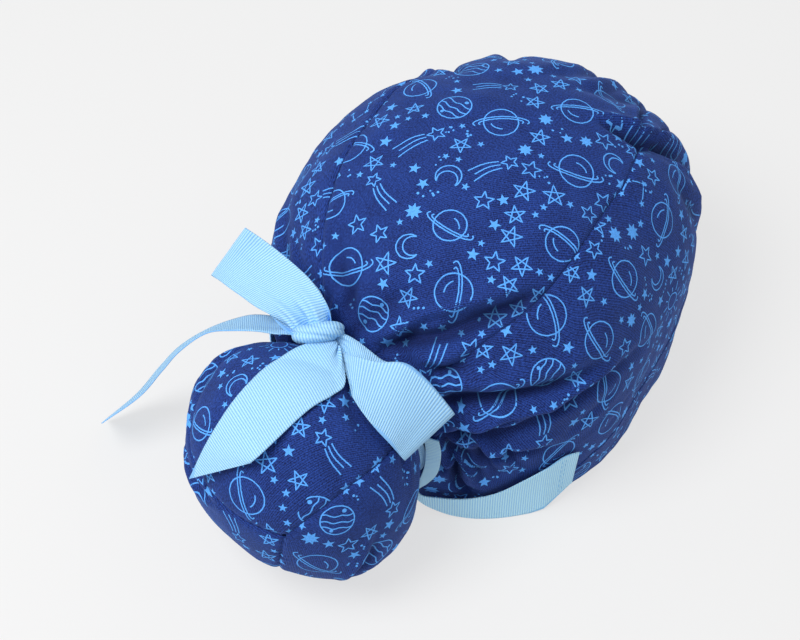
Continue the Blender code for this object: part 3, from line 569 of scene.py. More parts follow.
# Weave and ribs
CLOTH_PITCH = 0.00095
DIAGONAL_PITCH = 0.0014
RIB_PITCH = 0.00135
RIBBON_THREAD_PITCH = 0.00045
SELVEDGE_START = 0.0176
SELVEDGE_END = 0.0183

# Print
PRINT_LIFT = 0.00007
PRINT_GAP = 0.0006
LINE_WIDTH = 0.00070
MOTIF_AREA = 0.045
LINE_STEP = 0.0011
RING_STEP = 0.0009
WOBBLE = 0.00004

# Rows and columns of the fine grids
CROWN_ROWS = 184
NECK_ROWS = 32
POUCH_ROWS = 112
HEM_ROWS = 30
HEM_COLUMNS = 540
WRAP_ROWS = 180
WRAP_COLUMNS = 15
KNOT_ROWS = 89
KNOT_COLUMNS = 120
TIE_ROWS = 220
TIE_COLUMNS = 21

# Bow and ties
BOW_LIFT = 0.0016
LOOP_TURN_MM = 1.2
TIE_DROP = 0.0055
TIE_SPREAD = 0.006
LEAST_HEIGHT = 0.0005
STITCH_ROWS = (11, 14)
STITCH_MARKS = 15
STITCH_WIDTH = 0.00032
STITCH_LIFT = 0.0003
STITCH_TOP = 0.00055

# Knot as seen: shares of its solid's run, width and depth, how far its middle moves, its bends and creases
KNOT_SHARES = (1.20, 1.02, 1.10)
KNOT_MOVE = np.array((-0.0012, 0.0016, 0.0030))
KNOT_BEND = 0.0016
KNOT_BOW = 6.0
KNOT_CREASE = 0.0012

# Creases: depth and width in metres, side of the ridge, then angle, way along, share of the depth
CREASES = (
    (0.0050, 0.0037, -1, (
        (4.5, 0.620, 0.5), (11, 0.598, 0.9), (20.5, 0.576, 1.0), (30.5, 0.560, 1.0), (41, 0.538, 0.8),
        (48.5, 0.518, 0.6), (53, 0.500, 0.4), (58, 0.480, 0.1),
    )),
    (0.0037, 0.0028, 1, (
        (61.5, 0.610, 0.8), (71.5, 0.584, 1.0), (79.5, 0.560, 1.0), (86.5, 0.528, 0.9),
        (91, 0.498, 0.8), (94, 0.466, 0.7), (95.5, 0.430, 0.5), (96.5, 0.378, 0.3), (95, 0.316, 0.0),
    )),
    (0.0053, 0.0029, -1, (
        (90, 0.620, 0.8), (92, 0.605, 1.0), (93, 0.585, 1.0), (95, 0.560, 1.0), (97, 0.535, 0.8),
        (100, 0.505, 0.7), (105, 0.460, 0.4), (107, 0.420, 0.1),
    )),
    (0.0065, 0.0026, 1, (
        (101, 0.618, 0.8), (115, 0.600, 1.0), (135, 0.550, 1.0), (147, 0.500, 0.8), (156, 0.390, 0.5),
        (158, 0.280, 0.2),
    )),
    (0.0047, 0.0024, 1, (
        (105.5, 0.606, 0.6), (118.5, 0.576, 1.0), (131.5, 0.536, 0.9), (144, 0.450, 0.5),
        (150, 0.376, 0.1),
    )),
    (0.0040, 0.0024, -1, (
        (101, 0.584, 0.4), (113, 0.560, 1.0), (126, 0.525, 0.9), (138, 0.460, 0.5), (146, 0.360, 0.1),
    )),
    (0.0031, 0.0028, 1, ((107.5, 0.548, 0.4), (116, 0.520, 1.0), (132, 0.446, 0.7), (144, 0.300, 0.1))),
    (0.0062, 0.0029, -1, (
        (24, 0.312, 0.1), (27, 0.303, 0.5), (30, 0.293, 0.8), (33, 0.284, 1.0), (36, 0.272, 1.0),
        (38.5, 0.246, 0.7), (40, 0.218, 0.3),
    )),
    (0.0040, 0.0026, 1, ((22, 0.205, 0.2), (26, 0.232, 0.7), (29.5, 0.256, 0.9), (33.5, 0.276, 0.6))),
    (0.0043, 0.0029, 1, ((38.5, 0.250, 0.6), (42, 0.226, 1.0), (44, 0.200, 0.8), (48, 0.180, 0.3))),
    (0.0013, 0.0041, 1, ((-23, 0.612, 0.8), (-18, 0.600, 1.0), (-7.5, 0.585, 0.7), (2, 0.566, 0.2))),
    (0.0014, 0.0037, -1, ((-36, 0.600, 0.9), (-31, 0.580, 1.0), (-24, 0.562, 0.6), (-19, 0.545, 0.1))),
    (0.0014, 0.0032, 1, ((-44, 0.600, 0.9), (-40, 0.580, 1.0), (-38, 0.552, 0.3))),
    (0.0037, 0.0028, 1, (
        (-61.5, 0.606, 0.9), (-72, 0.582, 1.0), (-82, 0.545, 0.9), (-90, 0.490, 0.6),
        (-93, 0.400, 0.1),
    )),
    (0.0050, 0.0029, -1, (
        (-92, 0.612, 0.9), (-94, 0.580, 1.0), (-99, 0.530, 0.8), (-105, 0.450, 0.3),
        (-107, 0.400, 0.0),
    )),
    (0.0062, 0.0026, 1, (
        (-103, 0.612, 0.9), (-120, 0.580, 1.0), (-140, 0.520, 0.9), (-154, 0.400, 0.4),
        (-158, 0.300, 0.1),
    )),
    (0.0043, 0.0026, 1, (
        (-112, 0.580, 0.6), (-126, 0.545, 1.0), (-140, 0.470, 0.6), (-149, 0.370, 0.1),
    )),
    (0.0015, 0.0046, 1, ((23.5, 0.785, 0.8), (28, 0.812, 1.0), (37, 0.826, 0.7), (46, 0.838, 0.1))),
    (0.0020, 0.0037, -1, ((57, 0.780, 0.9), (62, 0.798, 1.0), (72, 0.808, 0.6), (82, 0.812, 0.1))),
    (0.0018, 0.0041, 1, ((-45, 0.770, 0.9), (-52, 0.800, 1.0), (-62, 0.830, 0.6), (-72, 0.850, 0.1))),
    (0.0018, 0.0041, -1, (
        (-90, 0.770, 0.9), (-98, 0.800, 1.0), (-104, 0.835, 0.5), (-108, 0.860, 0.1),
    )),
    (0.0020, 0.0041, 1, ((115, 0.770, 0.9), (122, 0.800, 1.0), (130, 0.840, 0.5), (134, 0.860, 0.1))),
    (0.0034, 0.0030, 1, (
        (-89.5, 0.830, 0.4), (-86, 0.850, 1.0), (-86, 0.873, 1.0), (-87, 0.889, 0.7),
        (-85.5, 0.912, 0.2),
    )),
    (0.0036, 0.0034, -1, (
        (138, 0.859, 0.5), (129, 0.866, 1.0), (120.5, 0.868, 1.0), (110.5, 0.868, 0.7),
        (99, 0.871, 0.2),
    )),
    (0.0012, 0.0040, 1, (
        (-90, 0.398, 0.1), (-78.5, 0.470, 0.8), (-70, 0.512, 1.0), (-62, 0.545, 0.6),
        (-50, 0.580, 0.3),
    )),
    (0.0012, 0.0050, -1, ((-12, 0.590, 0.6), (9.5, 0.556, 1.0), (21, 0.538, 0.8), (30, 0.515, 0.2))),
    (0.0012, 0.0045, 1, ((123.5, 0.390, 0.2), (119, 0.364, 1.0), (113, 0.350, 0.9), (106, 0.310, 0.2))),
    (0.0010, 0.0045, -1, ((126, 0.250, 0.2), (120, 0.220, 1.0), (112, 0.200, 0.8), (104, 0.170, 0.2))),
)

# Both edges of each ribbon of the bow from the knot on, right, forward and up of the knot, in millimetres
BOW_LEFT = (
    (3.7, 4.6, 1.8, -9.1, -3.0, 0.4), (2.9, 6.4, 8.7, -14.5, -3.5, 2.3),
    (0.5, 8.7, 14.0, -19.9, -3.1, 4.9), (-4.5, 11.5, 18.1, -26.7, -2.4, 5.6),
    (-13.1, 16.1, 19.8, -36.2, -0.7, 4.3), (-25.6, 21.2, 19.7, -47.0, 2.8, 2.2),
    (-38.6, 25.0, 20.0, -57.2, 6.2, -0.2), (-49.0, 26.6, 21.7, -65.4, 9.9, -3.2),
    (-58.3, 27.3, 23.4, -72.3, 13.3, -6.9),
)
BOW_RIGHT = (
    (9.6, 0.5, 0.3, 11.0, -3.7, -2.1), (14.2, -2.3, 1.5, 17.9, -9.5, -2.6),
    (17.4, -2.8, 2.5, 24.6, -15.9, -2.3), (23.7, -1.9, 3.1, 33.5, -23.1, 0.5),
    (34.3, 1.3, 2.3, 41.8, -27.5, -1.0), (44.6, 6.9, 2.0, 49.6, -29.6, -5.3),
    (56.0, 7.7, -3.5, 58.1, -29.9, -12.1), (65.6, 6.8, -10.8, 61.9, -28.8, -18.2),
    (72.9, 7.2, -20.1, 64.3, -27.2, -24.2),
)
BOW_RIGHT_BACK = (
    (70.6, 9.5, -22.7, 61.7, -24.6, -26.7), (57.8, 9.8, -11.9, 58.0, -26.0, -18.4),
    (43.0, 9.7, -4.5, 50.1, -25.8, -11.0), (33.6, 6.4, -2.9, 41.8, -22.9, -5.4),
    (25.6, 6.5, -0.1, 33.9, -17.2, -1.9), (18.0, 6.8, 2.7, 23.2, -8.7, -1.6),
    (11.3, 6.5, 4.0, 14.8, -1.4, -0.7), (5.1, 6.2, 2.4, 8.4, 0.6, -0.5),
)
BOW_FRONT = (
    (7.8, 1.7, 1.9, 12.5, -1.3, 1.7), (6.6, -0.0, 3.8, 19.4, -8.9, 2.4),
    (2.0, -4.6, 5.0, 27.0, -19.5, 3.3), (-3.6, -11.5, 5.0, 25.7, -28.5, 3.8),
    (-8.1, -21.7, 4.6, 21.3, -38.9, 3.3), (-11.6, -33.4, 4.2, 17.6, -50.2, 1.9),
    (-14.5, -45.2, 2.0, 14.3, -62.0, -0.8), (-17.0, -57.8, -3.5, 10.8, -71.8, -4.4),
    (-20.4, -70.9, -15.6, 8.7, -74.1, -7.2), (-24.9, -82.7, -35.3, 7.7, -74.5, -9.0),
)

# From the middle of the rim to the middle of the frame
SHIFT = np.array((0.0242, 0.0518, 0.0001))

rng = np.random.default_rng(20)


def waves(points, size, seed):
    """Smooth waves through space, between about -1 and 1, with no repeat."""
    made = np.random.default_rng(seed)
    total = np.zeros(points.shape[:-1])
    for _ in range(7):
        way = unit(made.normal(size=3))
        pace = made.uniform(0.7, 1.4)
        total = total + np.sin(points @ way * (2 * np.pi / size) * pace + made.uniform(0, 6.3))
    return total / 3.2


def seam_pucker(phi, along, per_radian):
    """Small ripples that a sewn seam draws in the cloth beside it."""
    seams = seam_angles(along)
    walked = along / NECK_START * RIM_TO_NECK
    height = np.zeros(phi.shape)
    for number, seam in enumerate((seams[..., 0], seams[..., 1], np.full(phi.shape, np.pi))):
        away = np.abs(wrap(phi - seam)) * per_radian
        beat = np.sin(2 * np.pi * walked / PUCKER_PITCH + 1.7 * np.sin(walked * 190 + number) + number)
        fade = np.exp(-((away / PUCKER_REACH) ** 2)) * (0.5 + 0.5 * np.sin(walked * 75 + number))
        height = height + PUCKER_DEPTH * beat * fade
        height = height - SEAM_LINE_DEPTH * np.exp(-((away / SEAM_LINE_WIDTH) ** 2))
    return height


def crease_height(point, out):
    """How far the creases move cloth points in, with a soft ridge beside each."""
    height = np.zeros(point.shape[:-1])
    for depth, width, side, rows in CREASES:
        rows = np.array(rows, float)
        count = len(rows)
        fine = curve(np.column_stack((np.arange(count), rows)), np.linspace(0, count - 1, 12 * count))
        line = base_point(np.radians(fine[:, 0]), fine[:, 1])
        room = 4 * width
        near = ((point > line.min(axis=0) - room) & (point < line.max(axis=0) + room)).all(axis=-1)
        if not near.any():
            continue
        arm = point[near][:, None] - line[None]
        length = np.linalg.norm(arm, axis=-1)
        at = length.argmin(axis=1)
        pick = np.arange(len(at))
        sideways = np.cross(out[near], unit(np.gradient(line, axis=0))[at])
        sign = np.sign((arm[pick, at] * sideways).sum(axis=-1)) * side
        x = sign * length[pick, at] / width
        valley = np.where(x > 0, np.exp(-(x**2)), np.exp(-((1.5 * x) ** 2)))
        ridge = 0.45 * np.exp(-(((x + 1.5) / 0.9) ** 2))
        height[near] += depth * np.clip(fine[at, 2], 0, 1) * (ridge - valley)
    return height


def cloth_surface(phi, along):
    """Outer cloth with folds, gathers, creases and puckers, and how deep each point lies in the hollows,
    for the painted shade there.
    """
    base = base_point(phi, along)
    point = cloth_point(phi, along)
    per_radian, out = cloth_frame(phi, along)
    height = SOFT_DEPTH * waves(point, SOFT_SIZE, 3) + SMALL_SOFT_DEPTH * waves(point, SMALL_SOFT_SIZE, 4)
    height = height + seam_pucker(phi, along, per_radian) + crease_height(base, out)
    moved = point + height[..., None] * out
    # Painted shade: the deeper a point lies below the smooth cloth, the darker its colour is painted
    hollow_shade = np.clip(-((moved - base) * out).sum(axis=-1) / HOLLOW_SHADE_DEPTH, 0, 1)
    return moved, hollow_shade


def arc(points, axis):
    """Length walked along an axis of a grid of points."""
    steps = np.linalg.norm(np.diff(points, axis=axis), axis=-1)
    start = np.zeros_like(np.take(steps, [0], axis=axis))
    return np.concatenate((start, np.cumsum(steps, axis=axis)), axis=axis)


def centred(lengths):
    """Lengths across a grid, from its middle column."""
    middle = lengths.shape[1] // 2
    return lengths - lengths[:, middle : middle + 1]


def joined(grid):
    """Grid that goes round, with its first column again at the end."""
    return np.hstack((grid, grid[:, :1]))


def grid_normals(points):
    return unit(np.cross(np.gradient(points, axis=0), np.gradient(points, axis=1)))


# Flat width, length and area of each grid of cloth, by piece
CUTS = {}


def cut_size(points):
    """Width, length and area of the flat cloth that a grid of points is made of."""
    wide = arc(points, 1)[:, -1].max()
    long = arc(points, 0)[-1].max()
    a = points[1:, :-1] - points[:-1, :-1]
    b = points[:-1, 1:] - points[:-1, :-1]
    area = np.linalg.norm(np.cross(a, b), axis=-1).sum()
    return float(wide), float(long), float(min(area, wide * long))


def mesh_object(name, points, faces, material, uv=None, smooth=True, hollow_shade=None):
    if points.ndim == 3:
        CUTS[name] = cut_size(points)
    mesh = bpy.data.meshes.new(name)
    mesh.from_pydata([tuple(p) for p in points.reshape(-1, 3) + SHIFT], [], faces)
    mesh.update()
    if smooth:
        mesh.polygons.foreach_set("use_smooth", np.ones(len(mesh.polygons), bool))
    if uv is not None:
        layer = mesh.uv_layers.new(name="UVMap")
        loops = np.empty(len(mesh.loops), np.int32)
        mesh.loops.foreach_get("vertex_index", loops)
        layer.data.foreach_set("uv", uv.reshape(-1, 2)[loops].astype(np.float32).ravel())
    # Depth in the hollows, which the materials turn into painted shade
    if hollow_shade is not None:
        depth = mesh.attributes.new("hollow_shade", "FLOAT", "POINT")
        depth.data.foreach_set("value", hollow_shade.astype(np.float32).ravel())
    mesh.materials.append(material)
    thing = bpy.data.objects.new(name, mesh)
    bpy.context.scene.collection.objects.link(thing)
    return thing


def grid_faces(rows, columns, ring=False, flip=False):
    i, j = np.meshgrid(np.arange(rows - 1), np.arange(columns if ring else columns - 1), indexing="ij")
    k = (j + 1) % columns
    low = i * columns
    high = low + columns
    faces = np.stack((low + j, low + k, high + k, high + j), axis=-1).reshape(-1, 4)
    return (faces[:, ::-1] if flip else faces).tolist()


def thicken(thing, thickness, offset):
    solid = thing.modifiers.new("Thickness", "SOLIDIFY")
    solid.thickness = thickness
    solid.offset = offset
    solid.use_rim = True


def place(thing, node, slot):
    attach(thing, "root")
    if node:
        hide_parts(node)


class Nodes:
    """Short way to build a shader from maths on values and vectors."""

    def __init__(self, name):
        self.material = bpy.data.materials.new(name)
        self.material.use_nodes = True
        self.tree = self.material.node_tree
        self.shader = self.tree.nodes["Principled BSDF"]

    def put(self, socket, value):
        if isinstance(value, bpy.types.NodeSocket):
            self.tree.links.new(value, socket)
        else:
            socket.default_value = value

    def set(self, **values):
        """Inputs of the shader, with _ for each space of their names."""
        for key, value in values.items():
            self.put(self.shader.inputs[key.replace("_", " ")], value)

    def node(self, kind, output=0, inputs=(), **settings):
        made = self.tree.nodes.new("ShaderNode" + kind)
        for key, value in settings.items():
            setattr(made, key, value)
        for key, value in dict(inputs).items():
            self.put(made.inputs[key], value)
        return made.outputs[output]

    def maths(self, operation, *values):
        return self.node("Math", 0, enumerate(values), operation=operation)

    def wave(self, value, pitch):
        return self.maths("SINE", self.maths("MULTIPLY", value, 2 * np.pi / pitch))

    def spread(self, *values):
        """A value, its lowest and highest, and what these become."""
        return self.node("MapRange", 0, enumerate(values))

    def mix(self, factor, first, second):
        return self.node("Mix", 2, {6: first, 7: second, "Factor": factor}, data_type="RGBA")

    def noise(self, vector, scale, detail, roughness=0.5):
        inputs = {"Vector": vector, "Scale": scale, "Detail": detail, "Roughness": roughness}
        return self.node("TexNoise", 0, inputs)

    def hollow_shade(self, outside, inside):
        """Painted shade: a value that goes from one to the other as the cloth lies deeper in its hollows.
        """
        return self.spread(self.node("Attribute", 2, attribute_name="hollow_shade"), 0.1, 1.0, outside, inside)

    def uv(self):
        vector = self.node("UVMap", uv_map="UVMap")
        return vector, self.node("SeparateXYZ", 0, {0: vector}), self.node("SeparateXYZ", 1, {0: vector})

    def bump(self, height, distance, strength):
        inputs = {"Strength": strength, "Distance": distance, "Height": height}
        self.set(Normal=self.node("Bump", 0, inputs))


def cloth_material(name, dark, light):
    """Matt cotton: crossing threads, a faint diagonal, small slubs, lighter worn spots, and painted shade
    in the hollows of folds and creases.
    """
    n = Nodes(name)
    vector, u, v = n.uv()
    weave = n.maths("MULTIPLY", n.wave(u, CLOTH_PITCH), n.wave(v, CLOTH_PITCH))
    diagonal = n.wave(n.maths("ADD", u, v), DIAGONAL_PITCH)
    slub = n.noise(vector, 1050.0, 2.0, 0.6)
    cloud = n.noise(vector, 60.0, 3.0)
    shade = n.maths("MULTIPLY_ADD", weave, 0.26, 0.42)
    shade = n.maths("MULTIPLY_ADD", diagonal, 0.22, shade)
    shade = n.maths("ADD", shade, n.spread(slub, 0.25, 0.75, -0.55, 0.55))
    shade = n.maths("ADD", shade, n.spread(cloud, 0.3, 0.7, -0.10, 0.10))
    # Painted shade: the colour darkens in the hollows of folds and creases
    shade = n.maths("MULTIPLY", shade, n.hollow_shade(1.0, 0.30))
    n.set(Base_Color=n.mix(shade, dark, light), Roughness=0.86, Specular_IOR_Level=0.25)
    n.set(Sheen_Weight=0.22, Sheen_Roughness=0.5, Sheen_Tint=(0.18, 0.36, 1.0, 1.0))
    n.bump(n.maths("ADD", n.maths("MULTIPLY", weave, 0.5), slub), 0.00012, 0.6)
    return n.material


def print_material(name, color):
    """Printed colour or sewing thread: grainy, with painted shade in the hollows of the cloth."""
    n = Nodes(name)
    grain = n.noise(n.node("TexCoord", 3), 1400.0, 1.0)
    worn = tuple(0.72 * c for c in color[:3]) + (1.0,)
    # Painted shade: print in the hollows of the cloth goes towards this darker colour
    dark = tuple(0.30 * c for c in color[:3]) + (1.0,)
    drawn = n.mix(n.spread(grain, 0.35, 0.65, 0.25, 1.0), worn, color)
    n.set(Base_Color=n.mix(n.hollow_shade(0.0, 1.0), drawn, dark), Roughness=0.8, Specular_IOR_Level=0.2)
    return n.material


def ribbon_material(name, dark, light):
    """Grosgrain: ribs across the ribbon with painted light on their tops and painted shade between them,
    fine threads along it and a smooth selvedge.
    """
    n = Nodes(name)
    vector, u, v = n.uv()
    rib = n.maths("POWER", n.maths("MULTIPLY_ADD", n.wave(v, RIB_PITCH), 0.5, 0.5), 0.6)
    body = n.spread(n.maths("ABSOLUTE", u), SELVEDGE_START, SELVEDGE_END, 1.0, 0.15)
    thread = n.wave(u, RIBBON_THREAD_PITCH)
    fuzz = n.noise(vector, 1500.0, 1.0)
    height = n.maths("MULTIPLY", rib, body)
    # Painted light and shade: rib tops are painted lighter and the grooves between them darker
    shade = n.maths("MULTIPLY_ADD", height, 0.66, 0.20)
    shade = n.maths("MULTIPLY_ADD", thread, 0.03, shade)
    shade = n.maths("ADD", shade, n.spread(fuzz, 0.3, 0.7, -0.08, 0.08))
    n.set(Base_Color=n.mix(shade, dark, light), Roughness=0.62, Specular_IOR_Level=0.35)
    n.set(Sheen_Weight=0.30, Sheen_Tint=(0.35, 0.70, 1.0, 1.0))
    n.bump(n.maths("MULTIPLY_ADD", thread, 0.06, height), 0.00030, 0.8)
    return n.material


NAVY = cloth_material("outer_cloth", (0.0012, 0.0055, 0.052, 1.0), (0.0185, 0.0640, 0.340, 1.0))
HEM_NAVY = cloth_material("hem_cloth", (0.0012, 0.0053, 0.050, 1.0), (0.0178, 0.0615, 0.325, 1.0))
PRINT = print_material("print_blue", (0.105, 0.400, 1.000, 1.0))
# Ribbon colour runs from painted shade in the rib grooves to painted light on the rib tops
SKY = ribbon_material("ribbon", (0.112, 0.360, 0.800, 1.0), (0.465, 0.755, 0.940, 1.0))
# Brighter copy of the ribbon colour for the nape ties: painted light where the lamps leave them darker
# than the rest of the ribbon
PAINTED_LIGHT_SKY = ribbon_material("ribbon_nape", (0.180, 0.520, 0.930, 1.0), (0.600, 0.900, 1.000, 1.0))
THREAD = print_material("thread", (0.250, 0.560, 0.880, 1.0))


# Print motifs: each drawing gives its lines and its filled shapes, in metres from its middle
def ring(radius, start=0.0, end=360.0, x=0.0, y=0.0, squash=1.0, turn=0.0):
    """Part of a circle or ellipse, from one angle to another in degrees."""
    count = max(8, int(abs(end - start) / 360 * radius * 2 * np.pi / RING_STEP))
    angle = np.radians(np.linspace(start, end, count))
    line = np.stack((radius * np.cos(angle), radius * squash * np.sin(angle)), axis=-1)
    c, s = np.cos(np.radians(turn)), np.sin(np.radians(turn))
    return line @ np.array(((c, s), (-s, c))) + (x, y)


def star_corners(points, outer, inner, x=0.0, y=0.0):
    angle = np.pi / 2 + np.arange(2 * points) * np.pi / points
    radius = np.where(np.arange(2 * points) % 2 == 0, outer, inner)
    return np.stack((radius * np.cos(angle) + x, radius * np.sin(angle) + y), axis=-1)


def closed(corners):
    return np.vstack((corners, corners[:1]))


def motif_open_star(size):
    return [closed(star_corners(5, size, 0.42 * size))], []


def motif_crossed_star(size):
    angle = np.pi / 2 + np.arange(6) * 4 * np.pi / 5
    return [size * np.stack((np.cos(angle), np.sin(angle)), axis=-1)], []


def motif_filled_star(size, points=5):
    return [], [star_corners(points, size, size * (0.42 if points == 5 else 0.56))]


def motif_dots(size):
    made = np.random.default_rng(int(size * 1e6))
    shapes = []
    for _ in range(made.integers(2, 6)):
        shapes.append(ring(made.uniform(0.0005, 0.0008), 0, 315, *made.uniform(-size, size, 2)))
    return [], shapes


def motif_crescent(size):
    outer = ring(size, 50, 310)
    inner = ring(0.80 * size, 292, 68, x=0.34 * size)
    return [closed(np.vstack((outer, inner)))], []


def motif_ringed_planet(size):
    r = 0.62 * size
    tilt = 18.0
    return [
        ring(r, 0, 360),
        ring(size, 158, 382, squash=0.26, turn=tilt),
        ring(0.80 * size, 158, 382, squash=0.20, turn=tilt),
        ring(0.62 * r, 30, 110, squash=0.8),
    ], []


def motif_striped_planet(size):
    r = 0.75 * size
    lines = [ring(r, 0, 360)]
    for level in (-0.45, -0.05, 0.4):
        half = r * np.sqrt(1 - level**2)
        x = np.linspace(-half, half, 24)
        y = level * r - 0.10 * r * np.cos(x / half * np.pi / 2) + 0.05 * r * np.sin(x / r * 7)
        lines.append(np.stack((x, y), axis=-1))
    return lines, [ring(0.0012, 0, 315, 0.35 * r, 0.66 * r), ring(0.0010, 0, 315, -0.3 * r, -0.72 * r)]


def motif_comet(size):
    head = star_corners(5, 0.30 * size, 0.13 * size, 0.62 * size, 0.0)
    lines = [closed(head)]
    for start, end, bend in ((0.16, 0.20, 0.10), (0.02, 0.34, 0.03), (-0.12, 0.22, -0.06)):
        t = np.linspace(0, 1, 30)
        x = 0.30 * size - t * (1.25 - end) * size
        lines.append(np.stack((x, size * (start + bend * t + 0.05 * np.sin(t * 4))), axis=-1))
    return lines, []


def motif_star_chain(size):
    spots = ((-0.95, -0.25), (-0.50, 0.22), (-0.02, 0.02), (0.40, 0.38), (0.92, 0.18), (0.62, -0.40))
    spots = np.array(spots) * size
    lines = []
    for a, b in zip(spots[:-1], spots[1:]):
        way = unit(b - a)
        lines.append(np.stack((a + way * 0.0022, b - way * 0.0022)))
    return lines, [star_corners(5, 0.0021, 0.0009, *spot) for spot in spots]


def motif_sun(size):
    lines = [ring(0.42 * size, 0, 360)]
    for angle in np.radians(np.arange(0, 360, 30)):
        way = np.array((np.cos(angle), np.sin(angle)))
        reach = 1.0 if int(round(np.degrees(angle))) % 60 == 0 else 0.78
        lines.append(np.stack((0.55 * size * way, reach * size * way)))
    return lines, []


def burst(size):
    return motif_filled_star(size, 8)


# Kinds of motif: drawing, size, room round it in metres, tries on a MOTIF_AREA of cloth
MOTIFS = (
    (motif_ringed_planet, 0.0150, 0.0148, 30),
    (motif_comet, 0.0160, 0.0135, 50),
    (motif_star_chain, 0.0160, 0.0145, 40),
    (motif_striped_planet, 0.0120, 0.0110, 40),
    (motif_sun, 0.0105, 0.0105, 40),
    (motif_crescent, 0.0066, 0.0074, 110),
    (motif_crossed_star, 0.0058, 0.0056, 420),
    (motif_open_star, 0.0055, 0.0053, 520),
    (burst, 0.0044, 0.0048, 380),
    (motif_filled_star, 0.0036, 0.0037, 1700),
    (motif_filled_star, 0.0023, 0.0026, 4200),
    (motif_dots, 0.0030, 0.0026, 9000),
)


def refine(line):
    pieces = []
    for a, b in zip(line[:-1], line[1:]):
        count = max(1, int(np.ceil(np.linalg.norm(b - a) / LINE_STEP)))
        pieces.append(a + (b - a) * np.linspace(0, 1, count, endpoint=False)[:, None])
    return np.vstack(pieces + [line[-1:]])


def stroke(line):
    """Flat, slightly shaky strip along a line: its points and faces."""
    line = refine(line)
    is_closed = np.allclose(line[0], line[-1])
    phase = rng.uniform(0, 6.3, 4)
    walked = np.arange(len(line)) * LINE_STEP
    across = np.sin(walked * 900 + phase[0]) + np.sin(walked * 1700 + phase[1])
    up = np.sin(walked * 1000 + phase[2]) + np.sin(walked * 1500 + phase[3])
    shake = np.stack((across, up), axis=-1)
    line = line + WOBBLE * shake * (np.sin(np.pi * np.linspace(0, 1, len(line)))[:, None] ** 0.25)
    if is_closed:
        line[-1] = line[0]
    way = np.gradient(line, axis=0)
    if is_closed and len(line) > 3:
        way[0] = way[-1] = line[1] - line[-2]
    way = way / np.maximum(np.linalg.norm(way, axis=1, keepdims=True), 1e-9)
    side = np.stack((-way[:, 1], way[:, 0]), axis=-1) * LINE_WIDTH / 2
    points = np.stack((line - side, line + side), axis=1).reshape(-1, 2)
    return points, [(2 * k, 2 * k + 2, 2 * k + 3, 2 * k + 1) for k in range(len(line) - 1)]


def filled(corners):
    """Filled outline as a fan and two bands round its middle."""
    line = refine(closed(corners))[:-1]
    middle = line.mean(axis=0)
    count = len(line)
    points = [middle[None]]
    for share in (0.4, 0.7, 1.0):
        points.append(middle + (line - middle) * share)
    faces = [(0, 1 + k, 1 + (k + 1) % count) for k in range(count)]
    for level in (0, 1):
        a = 1 + level * count
        b = a + count
        faces += [(a + k, b + k, b + (k + 1) % count, a + (k + 1) % count) for k in range(count)]
    return np.vstack(points), faces


def sample(grid, i, j):
    """Grid values at fractional rows and columns."""
    a = np.clip(np.floor(i).astype(int), 0, grid.shape[0] - 2)
    b = np.clip(np.floor(j).astype(int), 0, grid.shape[1] - 2)
    p = (i - a)[..., None]
    q = (j - b)[..., None]
    return (
        grid[a, b] * (1 - p) * (1 - q)
        + grid[a + 1, b] * p * (1 - q)
        + grid[a, b + 1] * (1 - p) * q
        + grid[a + 1, b + 1] * p * q
    )


def lay(points, i, j, turn, base, by_row, by_column, normal):
    """Fractional rows and columns at which the points of a motif lie on the cloth."""
    at = np.array((i, j), float)
    sideways = unit(sample(by_column, *at))
    onwards = np.cross(unit(sample(normal, *at)), sideways)
    right = np.cos(turn) * sideways + np.sin(turn) * onwards
    up = np.cos(turn) * onwards - np.sin(turn) * sideways
    middle = sample(base, *at)
    rows = np.full(len(points), float(i))
    columns = np.full(len(points), float(j))
    for _ in range(4):
        here = sample(base, rows, columns) - middle
        left = points - np.stack((here @ right, here @ up), axis=-1)
        row_step = sample(by_row, rows, columns)
        column_step = sample(by_column, rows, columns)
        a, b = row_step @ right, column_step @ right
        c, d = row_step @ up, column_step @ up
        det = a * d - b * c
        det = np.where(np.abs(det) < 1e-12, 1e-12, det)
        rows = rows + np.clip((d * left[:, 0] - b * left[:, 1]) / det, -6, 6)
        columns = columns + np.clip((a * left[:, 1] - c * left[:, 0]) / det, -6, 6)
    return rows, columns


